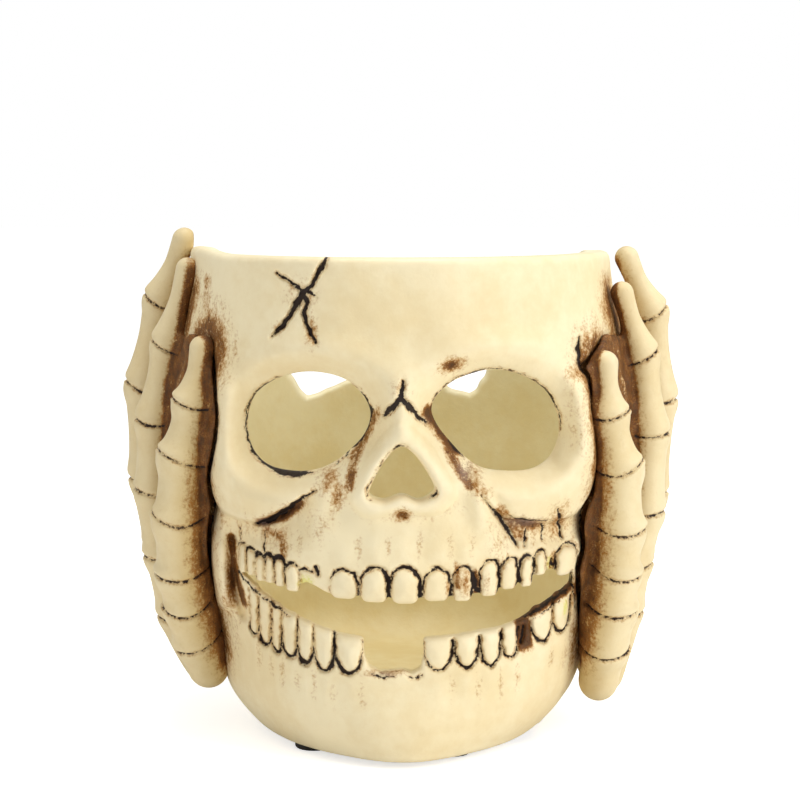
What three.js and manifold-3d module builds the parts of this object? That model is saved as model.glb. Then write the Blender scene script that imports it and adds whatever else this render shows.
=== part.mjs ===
// Hollow skull ornament clasped by two skeletal hands, with an air stone on the floor inside it.
// Millimetres. The face looks along -Y, +X is the viewer's right, +Z is up, and the feet stand on z = 0.
import * as THREE from "three";
import { mergeVertices } from "three/addons/utils/BufferGeometryUtils.js";
import Module from "manifold-3d";

// ---- Driving dimensions -------------------------------------------------------------------------

const BASE = 1.7; // underside of the casting, which the feet hold off the ground
const FLOOR = 13; // top of the floor inside
const RIM = 126.5; // front rim
const WALL = 7; // thickness of the casting
const GAP = 0.3; // glue line or clearance between two pieces

// Plan of the skull at each height: half width, reach to the front and reach to the back.
const STATIONS = [
  { z: BASE, side: 37, front: 49, back: 42 },
  { z: 4, side: 41.5, front: 53.5, back: 46.5 },
  { z: 9, side: 45.5, front: 56.5, back: 50.5 },
  { z: 16, side: 48.5, front: 58, back: 53.5 },
  { z: 30, side: 51.5, front: 58, back: 57 },
  { z: 45, side: 57, front: 58, back: 60 },
  { z: 60, side: 61.5, front: 56.5, back: 62 },
  { z: 75, side: 64, front: 56, back: 62.8 },
  { z: 90, side: 63, front: 56.5, back: 62.5 },
  { z: 105, side: 59.5, front: 58.5, back: 60.5 },
  { z: 118, side: 56.5, front: 60, back: 58 },
  { z: RIM, side: 55.5, front: 60, back: 57 },
];

// Heights at which the skins are laid out: close together where the face has most shape.
const CHIN_HEIGHTS = [4, 9];
const FACE_FROM = 14;
const FACE_TO = 110;
const BROW_TOP = 118;
const STRAIGHT_FROM = 30; // above this the inside wall follows the outside

// The rounded corner between the floor and the wall inside: height above the floor, and how far in.
const BOWL_CURVE = [
  { up: 0, inward: 11 },
  { up: 1, inward: 6 },
  { up: 4, inward: 2.5 },
  { up: 9, inward: 0.5 },
];

// Swellings and hollows of the face, mirrored left to right: centre, spread and height outward.
const RELIEF = [
  { x: 25, z: 102, wide: 14, tall: 5, out: 2 }, // brow ridge
  { x: 0, z: 98, wide: 7, tall: 7, out: 1.4 }, // between the brows
  { x: 0, z: 86, wide: 5.5, tall: 6, out: 4.2 }, // nasal bones
  { x: 11, z: 71, wide: 4, tall: 8, out: 2.4 }, // sides of the nose opening
  { x: 38, z: 69, wide: 9, tall: 5.5, out: 3.2 }, // cheekbone
  { x: 25, z: 60, wide: 9, tall: 5, out: -3.2 }, // hollow under the cheekbone
  { x: 0, z: 54, wide: 24, tall: 7, out: 2.2 }, // upper jaw
  { x: 0, z: 10, wide: 20, tall: 8, out: 1.2 }, // chin
  { x: 0, z: 1, wide: 20, tall: 4.5, out: 7.5 }, // foot of the chin
  { x: 53, z: 100, wide: 5, tall: 17, out: -2.6 }, // temple
];

const ARCH = { side: 51, front: 60 }; // oval that the teeth stand on
const UPPER_EDGE = 42.4; // biting edge of the upper front teeth
const LOWER_EDGE = 33; // biting edge of the lower front teeth

const EYES = [
  { x: -22.8, z: 85.8, half_width: 15.3, half_height: 12.5, tilt: -0.06 },
  { x: 23.8, z: 86.1, half_width: 15.9, half_height: 12.6, tilt: 0.02 },
];

const STONE_X = 27; // the air fitting stands off centre, behind the lower teeth
const STONE_Y = -22;
const CHANNEL_TOP = 9.6; // roof of the channel under the floor
const STONE_BOTTOM = 20.9;
const STONE_TOP = 26;
const POCKET_RADIUS = 9; // round end of the channel, which takes the elbow's flange
const SEAT_RADIUS = 9.2; // flat on the floor for the lock nut
const FITTING_HOLE = 4.5; // radius of the hole through the floor
const BARB_HEIGHT = 5.6; // centre line of the elbow's barb
const BARB_LENGTH = 17;
const FOOT_RADIUS = 5;
const FOOT_HEIGHT = BASE - GAP;

// Digits of each hand, from the fingertip down to the wrist, and the radius of the bones.
const LEFT_DIGITS = {
  little: { radius: 5.9, joints: [[-49.9, -34.5, 102.8], [-52.3, -34, 88.4], [-55.4, -33.5, 74.6],
    [-56.7, -33, 58.4], [-56.3, -31, 44.4], [-54.8, -28.5, 35.6], [-52.2, -25.5, 25.8],
    [-50, -21.5, 17.8]] },
  ring: { radius: 5.6, joints: [[-55.1, -18, 122.2], [-60.4, -16, 101.8], [-63.8, -15.5, 82],
    [-64, -15.5, 63.4], [-62, -14.5, 46.6], [-58.8, -12, 31], [-52, -10, 17]] },
  middle: { radius: 6, joints: [[-57.6, 0, 129.3], [-64.1, 3, 112.5], [-68.5, 4, 89],
    [-67.3, 4, 64.6], [-63.6, 3, 46], [-58.6, 1, 30], [-51.5, -1, 16]] },
  index: { radius: 5.8, joints: [[-55, 22, 115], [-61.5, 22, 98], [-64.2, 22, 78], [-63.4, 21, 58],
    [-59.5, 16, 40], [-53.5, 8, 24]] },
  thumb: { radius: 6.2, joints: [[-46, 45, 64], [-52, 37, 52], [-55, 27, 42], [-55, 15, 30]] },
};
const RIGHT_DIGITS = {
  little: { radius: 5.9, joints: [[51.9, -34.5, 98.9], [52.6, -34, 85.6], [55.6, -33.5, 71.6],
    [56, -33, 55.8], [55.5, -31, 44.8], [55, -29, 35], [53.2, -26, 23.6], [52, -22, 14.4]] },
  ring: { radius: 5.6, joints: [[57.6, -18, 116], [63, -16, 99.2], [65, -15.5, 78.8],
    [63.8, -15.5, 58], [61, -14.5, 44.4], [59, -12.5, 32], [54.6, -11, 14]] },
  middle: { radius: 6, joints: [[60.6, 0, 124.4], [67.2, 3, 109.5], [69, 4, 85.6],
    [66.4, 4, 60], [62.6, 3, 44], [59.5, 1, 28], [54, -1, 14]] },
  index: { radius: 5.8, joints: [[57, 22, 112], [62.5, 22, 95], [64.2, 22, 76], [63, 21, 57],
    [59.5, 16, 40], [53.5, 8, 24]] },
  thumb: { radius: 6.2, joints: [[46, 45, 64], [52, 37, 52], [55, 27, 42], [55, 15, 30]] },
};
const PALM = { x: 52.5, y: -5, z: 36, radii: [10, 25, 20] };

const BONE = { color: 0xeddfb8, roughness: 0.6, metalness: 0 };
const BLACK_RUBBER = { color: 0x2a2723, roughness: 0.85, metalness: 0 };
const BLACK_PLASTIC = { color: 0x26282a, roughness: 0.45, metalness: 0 };
const CLEAR_SILICONE = { color: 0xd8dcd6, roughness: 0.35, metalness: 0 };
const GREY_STONE = { color: 0x9a9a94, roughness: 0.95, metalness: 0 };

// ---- Solids and cuts ----------------------------------------------------------------------------

const wasm = await Module();
wasm.setup();

function signedVolume(positions, triangles) {
  const corners = [new THREE.Vector3(), new THREE.Vector3(), new THREE.Vector3()];
  let volume = 0;
  for (let i = 0; i < triangles.length; i += 3) {
    corners.forEach((corner, k) => corner.fromArray(positions, 3 * triangles[i + k]));
    volume += corners[0].dot(corners[1].cross(corners[2])) / 6;
  }
  return volume;
}

// A closed geometry as a solid with its faces pointing out.
function solid(geometry) {
  const bare = geometry.clone();
  bare.deleteAttribute("normal");
  bare.deleteAttribute("uv");
  const merged = mergeVertices(bare, 1e-4);
  const positions = new Float32Array(merged.attributes.position.array);
  const triangles = [];
  for (let i = 0; i < merged.index.count; i += 3) {
    const [a, b, c] = [0, 1, 2].map((k) => merged.index.getX(i + k));
    if (a !== b && b !== c && c !== a) {
      triangles.push(a, b, c);
    }
  }
  if (signedVolume(positions, triangles) < 0) {
    triangles.reverse();
  }
  const mesh = { numProp: 3, vertProperties: positions, triVerts: new Uint32Array(triangles) };
  return new wasm.Manifold(new wasm.Mesh(mesh));
}

function joined(solids) {
  return solids.reduce((sum, next) => sum.add(next));
}

function geometryOf(piece) {
  const mesh = piece.getMesh();
  const positions = new Float32Array(3 * mesh.numVert);
  for (let i = 0; i < mesh.numVert; i += 1) {
    positions.set(mesh.vertProperties.subarray(i * mesh.numProp, i * mesh.numProp + 3), 3 * i);
  }
  const geometry = new THREE.BufferGeometry();
  geometry.setAttribute("position", new THREE.BufferAttribute(positions, 3));
  geometry.setIndex(new THREE.BufferAttribute(new Uint32Array(mesh.triVerts), 1));
  geometry.computeVertexNormals();
  return geometry;
}

// An outline of [x, z] points as a slab that runs along Y from one depth to the other.
function slabAlongY(outline, front, back) {
  const shape = new THREE.Shape(outline.map(([x, z]) => new THREE.Vector2(x, z)));
  const geometry = new THREE.ExtrudeGeometry(shape, { depth: back - front, bevelEnabled: false });
  geometry.rotateX(Math.PI / 2);
  geometry.translate(0, back, 0);
  return solid(geometry);
}

// A turned piece on the vertical axis through (x, y), from a closed profile of [radius, z] points.
function turned(profile, x, y, segments = 16) {
  const points = profile.map(([radius, z]) => new THREE.Vector2(radius, z));
  const geometry = new THREE.LatheGeometry(points, segments);
  geometry.rotateX(Math.PI / 2);
  geometry.translate(x, y, 0);
  return solid(geometry);
}

// A plain round plug on the axis of the air fitting.
function plug(radius, low, high, segments = 16) {
  return turned([[0, low], [radius, low], [radius, high], [0, high]], STONE_X, STONE_Y, segments);
}

function ball(centre, radii, segments = 12) {
  const geometry = new THREE.SphereGeometry(1, segments, Math.round(segments * 0.6));
  geometry.rotateX(Math.PI / 2);
  geometry.scale(...radii);
  geometry.translate(...centre);
  return solid(geometry);
}

function block(low, high) {
  const size = high.map((value, i) => value - low[i]);
  const geometry = new THREE.BoxGeometry(...size);
  geometry.translate(...low.map((value, i) => value + size[i] / 2));
  return solid(geometry);
}

// ---- Shape of the skull -------------------------------------------------------------------------

function stationAt(z) {
  const above = STATIONS.findIndex((station) => station.z >= z);
  if (above === 0) {
    return STATIONS[0];
  }
  if (above < 0) {
    return STATIONS.at(-1);
  }
  const [low, high] = [STATIONS[above - 1], STATIONS[above]];
  const share = (z - low.z) / (high.z - low.z);
  const mix = (key) => THREE.MathUtils.lerp(low[key], high[key], share);
  return { side: mix("side"), front: mix("front"), back: mix("back") };
}

function faceRelief(x, z) {
  return RELIEF.reduce((sum, swelling) => {
    const across = (Math.abs(x) - swelling.x) / swelling.wide;
    const up = (z - swelling.z) / swelling.tall;
    return sum + swelling.out * Math.exp(-across * across - up * up);
  }, 0);
}

// A point of the outer skin, or of a skin that lies `grow` outside it. Angle 0 is straight ahead.
function skinPoint(angle, z, grow, withFace) {
  const station = stationAt(z);
  const ahead = Math.cos(angle);
  const across = Math.sin(angle);
  const reach = ahead > 0 ? station.front : station.back;
  const radius = 1 / Math.hypot(across / station.side, ahead / reach);
  const face = withFace ? THREE.MathUtils.smoothstep(ahead, 0, 0.35) : 0;
  const out = radius + grow + face * faceRelief(across * radius, z);
  return new THREE.Vector3(across * out, -ahead * out, z);
}

// A solid with the skull's plan at each of the levels. Each level is { z, grow }.
function skullSolid(levels, segments, withFace) {
  const profile = levels.map((level, i) => new THREE.Vector2(1, i));
  const last = levels.length - 1;
  const closed = [new THREE.Vector2(0, 0), ...profile, new THREE.Vector2(0, last)];
  const geometry = new THREE.LatheGeometry(closed, segments);
  const position = geometry.attributes.position;
  for (let i = 0; i < position.count; i += 1) {
    const [across, index, ahead] = [position.getX(i), position.getY(i), position.getZ(i)];
    const level = levels[Math.round(index)];
    const onAxis = Math.hypot(across, ahead) < 0.5;
    const angle = Math.atan2(across, ahead);
    const point = onAxis
      ? new THREE.Vector3(0, 0, level.z)
      : skinPoint(angle, level.z, level.grow, withFace);
    position.setXYZ(i, point.x, point.y, point.z);
  }
  return solid(geometry);
}

function evenHeights(low, high, count) {
  return Array.from({ length: count + 1 }, (_, i) => low + ((high - low) * i) / count);
}

// The outer skin of the skull, or a skin that lies `grow` outside it.
function outerSkull(grow) {
  const face = evenHeights(FACE_FROM, FACE_TO, 16);
  const heights = [BASE - grow, ...CHIN_HEIGHTS, ...face, BROW_TOP, RIM + grow];
  const levels = heights.map((z) => ({ z, grow }));
  return skullSolid(levels, 52, true);
}

// The hollow inside: a bowl with a rounded floor, open at the top.
function hollow() {
  const bowl = BOWL_CURVE.map(({ up, inward }) => ({ z: FLOOR + up, grow: -WALL - inward }));
  const heights = [...evenHeights(STRAIGHT_FROM, FACE_TO, 5), BROW_TOP, RIM + 6];
  const walls = heights.map((z) => ({ z, grow: -WALL }));
  return skullSolid([...bowl, ...walls], 32, false);
}

// ---- Openings of the face and the broken back rim -----------------------------------------------

function eyeOutline(eye) {
  const count = 22;
  const squareness = 2 / 2.35;
  return Array.from({ length: count }, (_, i) => {
    const angle = (2 * Math.PI * i) / count;
    const [c, s] = [Math.cos(angle), Math.sin(angle)];
    const x = eye.half_width * Math.sign(c) * Math.abs(c) ** squareness;
    const z = eye.half_height * Math.sign(s) * Math.abs(s) ** squareness;
    const inner = Math.sign(eye.x) * x < 0 ? 1 - 0.12 * Math.max(0, -s) : 1;
    const [turnX, turnZ] = [Math.cos(eye.tilt), Math.sin(eye.tilt)];
    return [eye.x + x * inner * turnX - z * turnZ, eye.z + x * turnZ + z * turnX];
  });
}

const NOSE_OUTLINE = [[-8.2, 68.6], [-4, 67], [0, 68.4], [4, 66.9], [8.4, 69.2], [7.4, 73.5],
  [3.8, 79], [0, 80.8], [-3.8, 78.6], [-7.2, 73.5]];

// The mouth: a wide grin with two lower front teeth missing.
const MOUTH_OUTLINE = [[-41.5, 48], [-39.5, 45.6], [-34.6, 41.4], [-28, 37.2], [-16, 33.6], [-9.4, 32.4],
  [-9.2, 25], [-3, 23.6], [5.8, 24.4], [6.2, 32.6], [14, 32.8], [25, 34.4], [33, 37.6], [40, 41],
  [45, 43.4], [45.6, 46], [40, 45.9], [32, 45.2], [22, 44], [0, 43.4], [-22, 44.2], [-34, 46.4]];

// Everything above the broken back rim: two V notches with a hump between them.
const BACK_RIM_CUT = [[-80, 140], [-47, 127.5], [-44.5, 118], [-41.5, 112], [-38.5, 101], [-35, 97],
  [-32, 89], [-27.2, 81.6], [-16.8, 85.6], [-8, 91], [-3, 94], [4, 92], [12, 86], [20.7, 81.8], [26, 90.5],
  [31, 94], [36, 104], [40, 107], [44.5, 119], [47.5, 127.5], [80, 140]];

function teeth(centres, edgeAt, height, overlap) {
  return centres.map(([x, width]) => {
    const y = -ARCH.front * Math.sqrt(1 - (x / ARCH.side) ** 2);
    const edge = edgeAt(x);
    const geometry = new THREE.SphereGeometry(1, 7, 5);
    geometry.rotateX(Math.PI / 2);
    geometry.scale(width / 2, 3, height / 2);
    geometry.rotateZ(Math.atan2(x / ARCH.side ** 2, -y / ARCH.front ** 2));
    geometry.translate(x, y + 0.6, edge + (overlap * height) / 2);
    return solid(geometry);
  });
}

const UPPER_TEETH = [[-39.5, 4.5], [-36, 4.8], [-32, 5], [-27.8, 5.4], [-22.5, 5.6], [-13.4, 8], [-6.2, 7.6],
  [1.2, 7.6], [9, 8], [16, 7], [22.2, 7], [27.6, 6], [32.4, 5.6], [36, 5], [42.5, 5.4]];
const LOWER_TEETH = [[-37.5, 4.6], [-34, 5], [-30.4, 5.4], [-25.6, 5.8], [-19.8, 6.4], [-13, 7.4],
  [9.6, 7.4], [16.4, 7], [22.4, 6.4], [27.6, 5.6], [33, 7], [39, 7]];

function skullShell() {
  const upper = teeth(UPPER_TEETH, (x) => UPPER_EDGE + 0.0024 * x * x, 9, 1);
  const lower = teeth(LOWER_TEETH, (x) => LOWER_EDGE + 0.0062 * x * x, 9, -1);
  let shell = outerSkull(0).subtract(hollow());
  EYES.forEach((eye) => {
    shell = shell.subtract(slabAlongY(eyeOutline(eye), -80, -12));
  });
  shell = shell.subtract(slabAlongY(NOSE_OUTLINE, -80, -30));
  shell = shell.subtract(slabAlongY(MOUTH_OUTLINE, -80, -12));
  shell = shell.subtract(slabAlongY(BACK_RIM_CUT, 14, 80));
  shell = joined([shell, ...upper, ...lower]);
  return airWay(shell);
}

// The channel under the floor, open at the rear, the hole for the air fitting and the flat around it.
function airWay(shell) {
  const halfWidth = 5.5;
  const flat = plug(SEAT_RADIUS, FLOOR, 40);
  const pocket = plug(POCKET_RADIUS, 0, CHANNEL_TOP);
  const channel = block([STONE_X - halfWidth, STONE_Y, 0], [STONE_X + halfWidth, 70, CHANNEL_TOP]);
  const hole = plug(FITTING_HOLE, CHANNEL_TOP - 2, FLOOR + 2);
  return [flat, pocket, channel, hole].reduce((left, cut) => left.subtract(cut), shell);
}

// ---- Hands --------------------------------------------------------------------------------------

// One finger bone: flared at its lower joint, waisted, and rounded at both ends.
function fingerBone(upper, lower, radius, isTip) {
  const top = new THREE.Vector3(...upper);
  const foot = new THREE.Vector3(...lower);
  const length = top.distanceTo(foot);
  const head = isTip ? 0.62 : 0.9;
  const waist = isTip ? 0.82 : 0.84;
  const profile = [
    [0, -0.25 * radius],
    [0.85 * radius, -0.1 * radius],
    [radius, 0.25 * radius],
    [waist * radius, length * 0.5],
    [head * radius, length],
    [0, length + 0.5 * radius],
  ];
  const points = profile.map(([r, h]) => new THREE.Vector2(r, h));
  const geometry = new THREE.LatheGeometry(points, 8);
  const turn = new THREE.Quaternion();
  turn.setFromUnitVectors(new THREE.Vector3(0, 1, 0), top.clone().sub(foot).normalize());
  geometry.applyQuaternion(turn);
  geometry.translate(...lower);
  return solid(geometry);
}

function digit({ radius, joints }) {
  return joints.slice(1).map((lower, i) => fingerBone(joints[i], lower, radius, i === 0));
}

function hand(digits, side, headWithGap) {
  const palm = ball([side * PALM.x, PALM.y, PALM.z], PALM.radii, 12);
  const bones = Object.values(digits).flatMap(digit);
  return joined([palm, ...bones]).subtract(headWithGap);
}

// ---- Air fitting --------------------------------------------------------------------------------

// A bulkhead elbow: riser with its flange and spigot, and a barb that runs back along +Y.
function inletElbow() {
  const profile = [[0, 2.6], [3.2, 2.6], [4, 4], [4, 6.9], [6.5, 6.9], [6.5, 8.1], [4, 8.1], [4, 16],
    [2.2, 16.2], [2.2, 18.7], [1.8, 19], [0, 19]];
  const barbProfile = [[0, 0], [2.3, 0], [2.3, BARB_LENGTH - 3], [3, BARB_LENGTH - 3], [2.3, BARB_LENGTH],
    [0, BARB_LENGTH]];
  const barb = new THREE.LatheGeometry(barbProfile.map(([r, y]) => new THREE.Vector2(r, y)), 14);
  barb.translate(STONE_X, STONE_Y, BARB_HEIGHT);
  const boreRadius = 1.2;
  const boreLength = 2 * (BARB_LENGTH - 5);
  const bore = new THREE.CylinderGeometry(boreRadius, boreRadius, boreLength, 8);
  bore.translate(STONE_X, STONE_Y + boreLength / 2, BARB_HEIGHT);
  const riser = turned(profile, STONE_X, STONE_Y);
  const upBore = plug(boreRadius, BARB_HEIGHT, 22, 8);
  return joined([riser, solid(barb)]).subtract(solid(bore)).subtract(upBore);
}

function ring(inner, outer, low, high) {
  const profile = [[inner, low], [outer, low], [outer, high], [inner, high], [inner, low]];
  return turned(profile, STONE_X, STONE_Y);
}

function lockNut() {
  const acrossFlats = 12;
  const shape = new THREE.Shape();
  for (let i = 0; i < 6; i += 1) {
    const angle = (Math.PI * i) / 3;
    const radius = acrossFlats / Math.sqrt(3);
    const corner = [radius * Math.cos(angle), radius * Math.sin(angle)];
    if (i === 0) {
      shape.moveTo(...corner);
    } else {
      shape.lineTo(...corner);
    }
  }
  const height = 2.4;
  const geometry = new THREE.ExtrudeGeometry(shape, { depth: height, bevelEnabled: false });
  geometry.translate(STONE_X, STONE_Y, FLOOR + GAP);
  return solid(geometry).subtract(plug(4.4, 0, 40));
}

function stoneNipple() {
  const profile = [[0, 19.4], [1.9, 19.4], [2.2, 19.8], [2.2, 24], [0, 24]];
  return turned(profile, STONE_X, STONE_Y, 12).subtract(plug(1.1, 10, 40, 8));
}

function airStone() {
  const profile = [[0, STONE_BOTTOM], [7, STONE_BOTTOM], [7.8, STONE_BOTTOM + 0.8], [7.8, STONE_TOP - 1.6],
    [7.2, STONE_TOP - 0.6], [5.8, STONE_TOP], [0, STONE_TOP]];
  const socket = plug(2.6, 15, 24.3, 12);
  return turned(profile, STONE_X, STONE_Y, 20).subtract(socket);
}

// ---- The assembly -------------------------------------------------------------------------------

const ornament = new THREE.Group();

function place(name, piece, finish) {
  const mesh = new THREE.Mesh(geometryOf(piece), new THREE.MeshStandardMaterial(finish));
  mesh.name = name;
  ornament.add(mesh);
}

const headWithGap = outerSkull(GAP);
place("skull_shell", skullShell(), BONE);
place("left_hand", hand(LEFT_DIGITS, -1, headWithGap), BONE);
place("right_hand", hand(RIGHT_DIGITS, 1, headWithGap), BONE);
place("air_stone", airStone(), GREY_STONE);
place("stone_nipple", stoneNipple(), BLACK_PLASTIC);
place("silicone_sleeve", ring(2.6, 3.9, 16.4, 20.6), CLEAR_SILICONE);
place("lock_nut", lockNut(), BLACK_PLASTIC);
place("sealing_washer", ring(4.4, 6.5, 8.4, CHANNEL_TOP - GAP), BLACK_RUBBER);
place("air_inlet_elbow", inletElbow(), BLACK_PLASTIC);

const FEET = [["front_left", -22, -34], ["front_right", 13, -40], ["rear_left", -22, 28],
  ["rear_right", 15, 30]];
FEET.forEach(([where, x, y]) => {
  const profile = [[0, 0], [FOOT_RADIUS - 0.4, 0], [FOOT_RADIUS, 0.4], [FOOT_RADIUS, FOOT_HEIGHT],
    [0, FOOT_HEIGHT]];
  place(`foot_pad_${where}`, turned(profile, x, y, 20), BLACK_RUBBER);
});

export default ornament;
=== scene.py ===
"""Looks of the hollow skull ornament held by two skeletal hands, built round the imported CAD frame."""

import math

import bpy
import numpy as np
import openvdb
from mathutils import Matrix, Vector


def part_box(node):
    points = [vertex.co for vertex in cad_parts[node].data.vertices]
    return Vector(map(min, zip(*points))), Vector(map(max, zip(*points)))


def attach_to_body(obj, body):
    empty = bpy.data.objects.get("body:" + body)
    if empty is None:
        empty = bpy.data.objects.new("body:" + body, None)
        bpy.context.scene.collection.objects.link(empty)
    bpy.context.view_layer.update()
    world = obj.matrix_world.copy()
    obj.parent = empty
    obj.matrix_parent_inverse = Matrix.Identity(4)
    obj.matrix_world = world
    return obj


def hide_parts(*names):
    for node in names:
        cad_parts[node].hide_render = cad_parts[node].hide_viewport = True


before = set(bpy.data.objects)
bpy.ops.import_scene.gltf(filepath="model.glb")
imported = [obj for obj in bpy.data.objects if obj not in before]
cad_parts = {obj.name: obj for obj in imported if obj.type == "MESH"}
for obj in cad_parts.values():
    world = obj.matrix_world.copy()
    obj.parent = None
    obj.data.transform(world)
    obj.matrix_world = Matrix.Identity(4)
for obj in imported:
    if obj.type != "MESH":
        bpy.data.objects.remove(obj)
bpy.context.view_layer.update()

MM = 0.001
FINE = 0.5  # spacing of the sculpting grid, in millimetres
VOXEL = FINE

# ---- Driving dimensions, in millimetres, in the CAD frame: the face looks along -Y ----

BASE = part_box("skull_shell")[0][2] / MM
RIM = 126.5
FLOOR = 13
WALL = 7
FITTING = (27, -22)  # plan position of the air fitting
DEEPEST = 4.3  # no hollow of the face goes deeper, so the wall behind stays whole
EMBED = 0.4  # how far the hands sink into the head, which closes the glue line

# Plan of the skull at each height: half width, reach to the front and reach to the back.
HEIGHTS = [1.7, 4, 9, 16, 30, 45, 60, 75, 90, 105, 118, 126.5]
SIDES = [37, 41.5, 45.5, 48.5, 51.5, 57, 61.5, 64, 63, 59.5, 56.5, 55.5]
FRONTS = [49, 53.5, 56.5, 58, 58, 58, 56.5, 56, 56.5, 58.5, 60, 60]
BACKS = [42, 46.5, 50.5, 53.5, 57, 60, 62, 62.8, 62.5, 60.5, 58, 57]


# ---- Small tools for shaping ----

def smoothstep(low, high, value):
    """0 below low, 1 above high, and a soft ramp between."""
    t = np.clip((value - low) / (high - low), 0, 1)
    return t * t * (3 - 2 * t)


def soft_max(a, b, reach):
    """The larger of two fields, with the meeting edge rounded over `reach`."""
    h = np.maximum(reach - np.abs(a - b), 0) / reach
    return np.maximum(a, b) + h * h * reach * 0.25


def soft_min(a, b, reach):
    return -soft_max(-a, -b, reach)


def bump(x, z, at, spread, tilt=0.0):
    """A soft round swelling of height 1 on the face, at (x, z), with its own spread each way."""
    c, s = math.cos(tilt), math.sin(tilt)
    dx, dz = x - at[0], z - at[1]
    across, up = (dx * c + dz * s) / spread[0], (dz * c - dx * s) / spread[1]
    return np.exp(-across * across - up * up)


def through(points, steps=6, closed=True):
    """A smooth curve through given points (Catmull-Rom)."""
    p = np.array(points, dtype=float)
    count = len(p)
    spans = count if closed else count - 1
    curve = []
    for i in range(spans):
        if closed:
            a, b, c, d = (p[(i + k) % count] for k in (-1, 0, 1, 2))
        else:
            a, b, c, d = (p[min(max(i + k, 0), count - 1)] for k in (-1, 0, 1, 2))
        for t in np.arange(steps) / steps:
            curve.append(0.5 * (2 * b + (c - a) * t + (2 * a - 5 * b + 4 * c - d) * t * t
                                + (3 * b - a - 3 * c + d) * t * t * t))
    if not closed:
        curve.append(p[-1])
    return np.array(curve)


def line_distance(x, z, points):
    """Distance to a line of (x, z) or (x, z, half width) points, less the half width."""
    best = np.full(np.broadcast(x, z).shape, 1e3)
    for a, b in zip(points[:-1], points[1:]):
        ax, az, bx, bz = a[0], a[1], b[0], b[1]
        length = (bx - ax) ** 2 + (bz - az) ** 2 + 1e-9
        t = np.clip(((x - ax) * (bx - ax) + (z - az) * (bz - az)) / length, 0, 1)
        d = np.hypot(x - ax - t * (bx - ax), z - az - t * (bz - az))
        if len(a) > 2:
            d = d - (a[2] + t * (b[2] - a[2]))
        best = np.minimum(best, d)
    return best


def inside_distance(x, z, outline):
    """Signed distance to a closed outline: negative inside."""
    shape = np.broadcast(x, z).shape
    inside = np.zeros(shape, dtype=bool)
    closed = np.vstack([outline, outline[:1]])
    for (ax, az), (bx, bz) in zip(closed[:-1, :2], closed[1:, :2]):
        if az == bz:
            continue
        crosses = (az > z) != (bz > z)
        inside ^= crosses & (x < (bx - ax) * (z - az) / (bz - az) + ax)
    d = line_distance(x, z, closed[:, :2])
    return np.where(inside, -d, d)


def dense(values, reach=4.0):
    """A station list as a smooth function of height."""
    z = np.arange(-10, 150, 0.5)
    raw = np.interp(z, HEIGHTS, values)
    taps = np.exp(-(np.arange(-12, 12.5, 0.5) / reach) ** 2)
    padded = np.pad(raw, len(taps) // 2, mode="edge")
    return z, np.convolve(padded, taps / taps.sum(), mode="valid")


SIDE_CURVE, FRONT_CURVE, BACK_CURVE = dense(SIDES), dense(FRONTS), dense(BACKS)


def lumps(x, y, z, size, seed):
    """A smooth uneven field between about -1 and 1, from a few crossed waves."""
    rng = np.random.default_rng(seed)
    total = 0
    for _ in range(6):
        direction = rng.normal(size=3)
        direction *= rng.uniform(0.7, 1.5) * 2 * math.pi / size / np.linalg.norm(direction)
        phase = rng.uniform(0, 2 * math.pi)
        total = total + np.sin(x * direction[0] + y * direction[1] + z * direction[2] + phase)
    return total / 3


# ---- Outlines of the face ----

LEFT_EYE = through([
    (-38.1, 85.6), (-35.7, 92.1), (-28.8, 96.6), (-21.3, 98.1), (-13.9, 96.6), (-9.3, 92.5), (-7.6, 88.1),
    (-9.3, 83.2), (-13.5, 78.2), (-18.4, 74.8), (-24.6, 73.3), (-32.2, 74.3), (-36.9, 78.6),
])
RIGHT_EYE = through([
    (8, 89.2), (11.5, 94.7), (17.1, 97.5), (23.3, 98.6), (30.8, 96.5), (36.8, 92), (39.7, 85.5),
    (39.5, 80.2), (36.9, 75.7), (31.5, 73.2), (22.1, 73.9), (17.2, 76.3), (12.2, 81.9),
])
NOSE = through([
    (0, 80.6), (-3.6, 77.3), (-6.4, 72.4), (-7.6, 68.6), (-4, 67.1), (0.3, 68.4), (4.7, 67.1), (8.3, 69.5),
    (7.2, 73.2), (3.4, 78.8),
])
NOSE_RIM = through([
    (0, 87.2), (-5.4, 82), (-9.6, 74.5), (-12.3, 67.5), (-8.7, 62.9), (0, 63.6), (9.6, 63.6), (14.2, 68.6),
    (10.6, 76), (6.6, 82),
])
BACK_RIM = [
    (-80, 140), (-62, 123.4), (-48.5, 122.6), (-44.5, 117), (-41.5, 112), (-38.5, 101), (-35, 97),
    (-32, 89), (-27.2, 81.6), (-16.8, 85.6), (-8, 91), (-3, 94), (4, 92), (12, 86), (20.7, 81.8),
    (26, 90.5), (31, 94), (36, 104), (40, 107), (44.5, 117.4), (48.5, 122.8), (62, 123.6), (80, 140),
]

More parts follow.
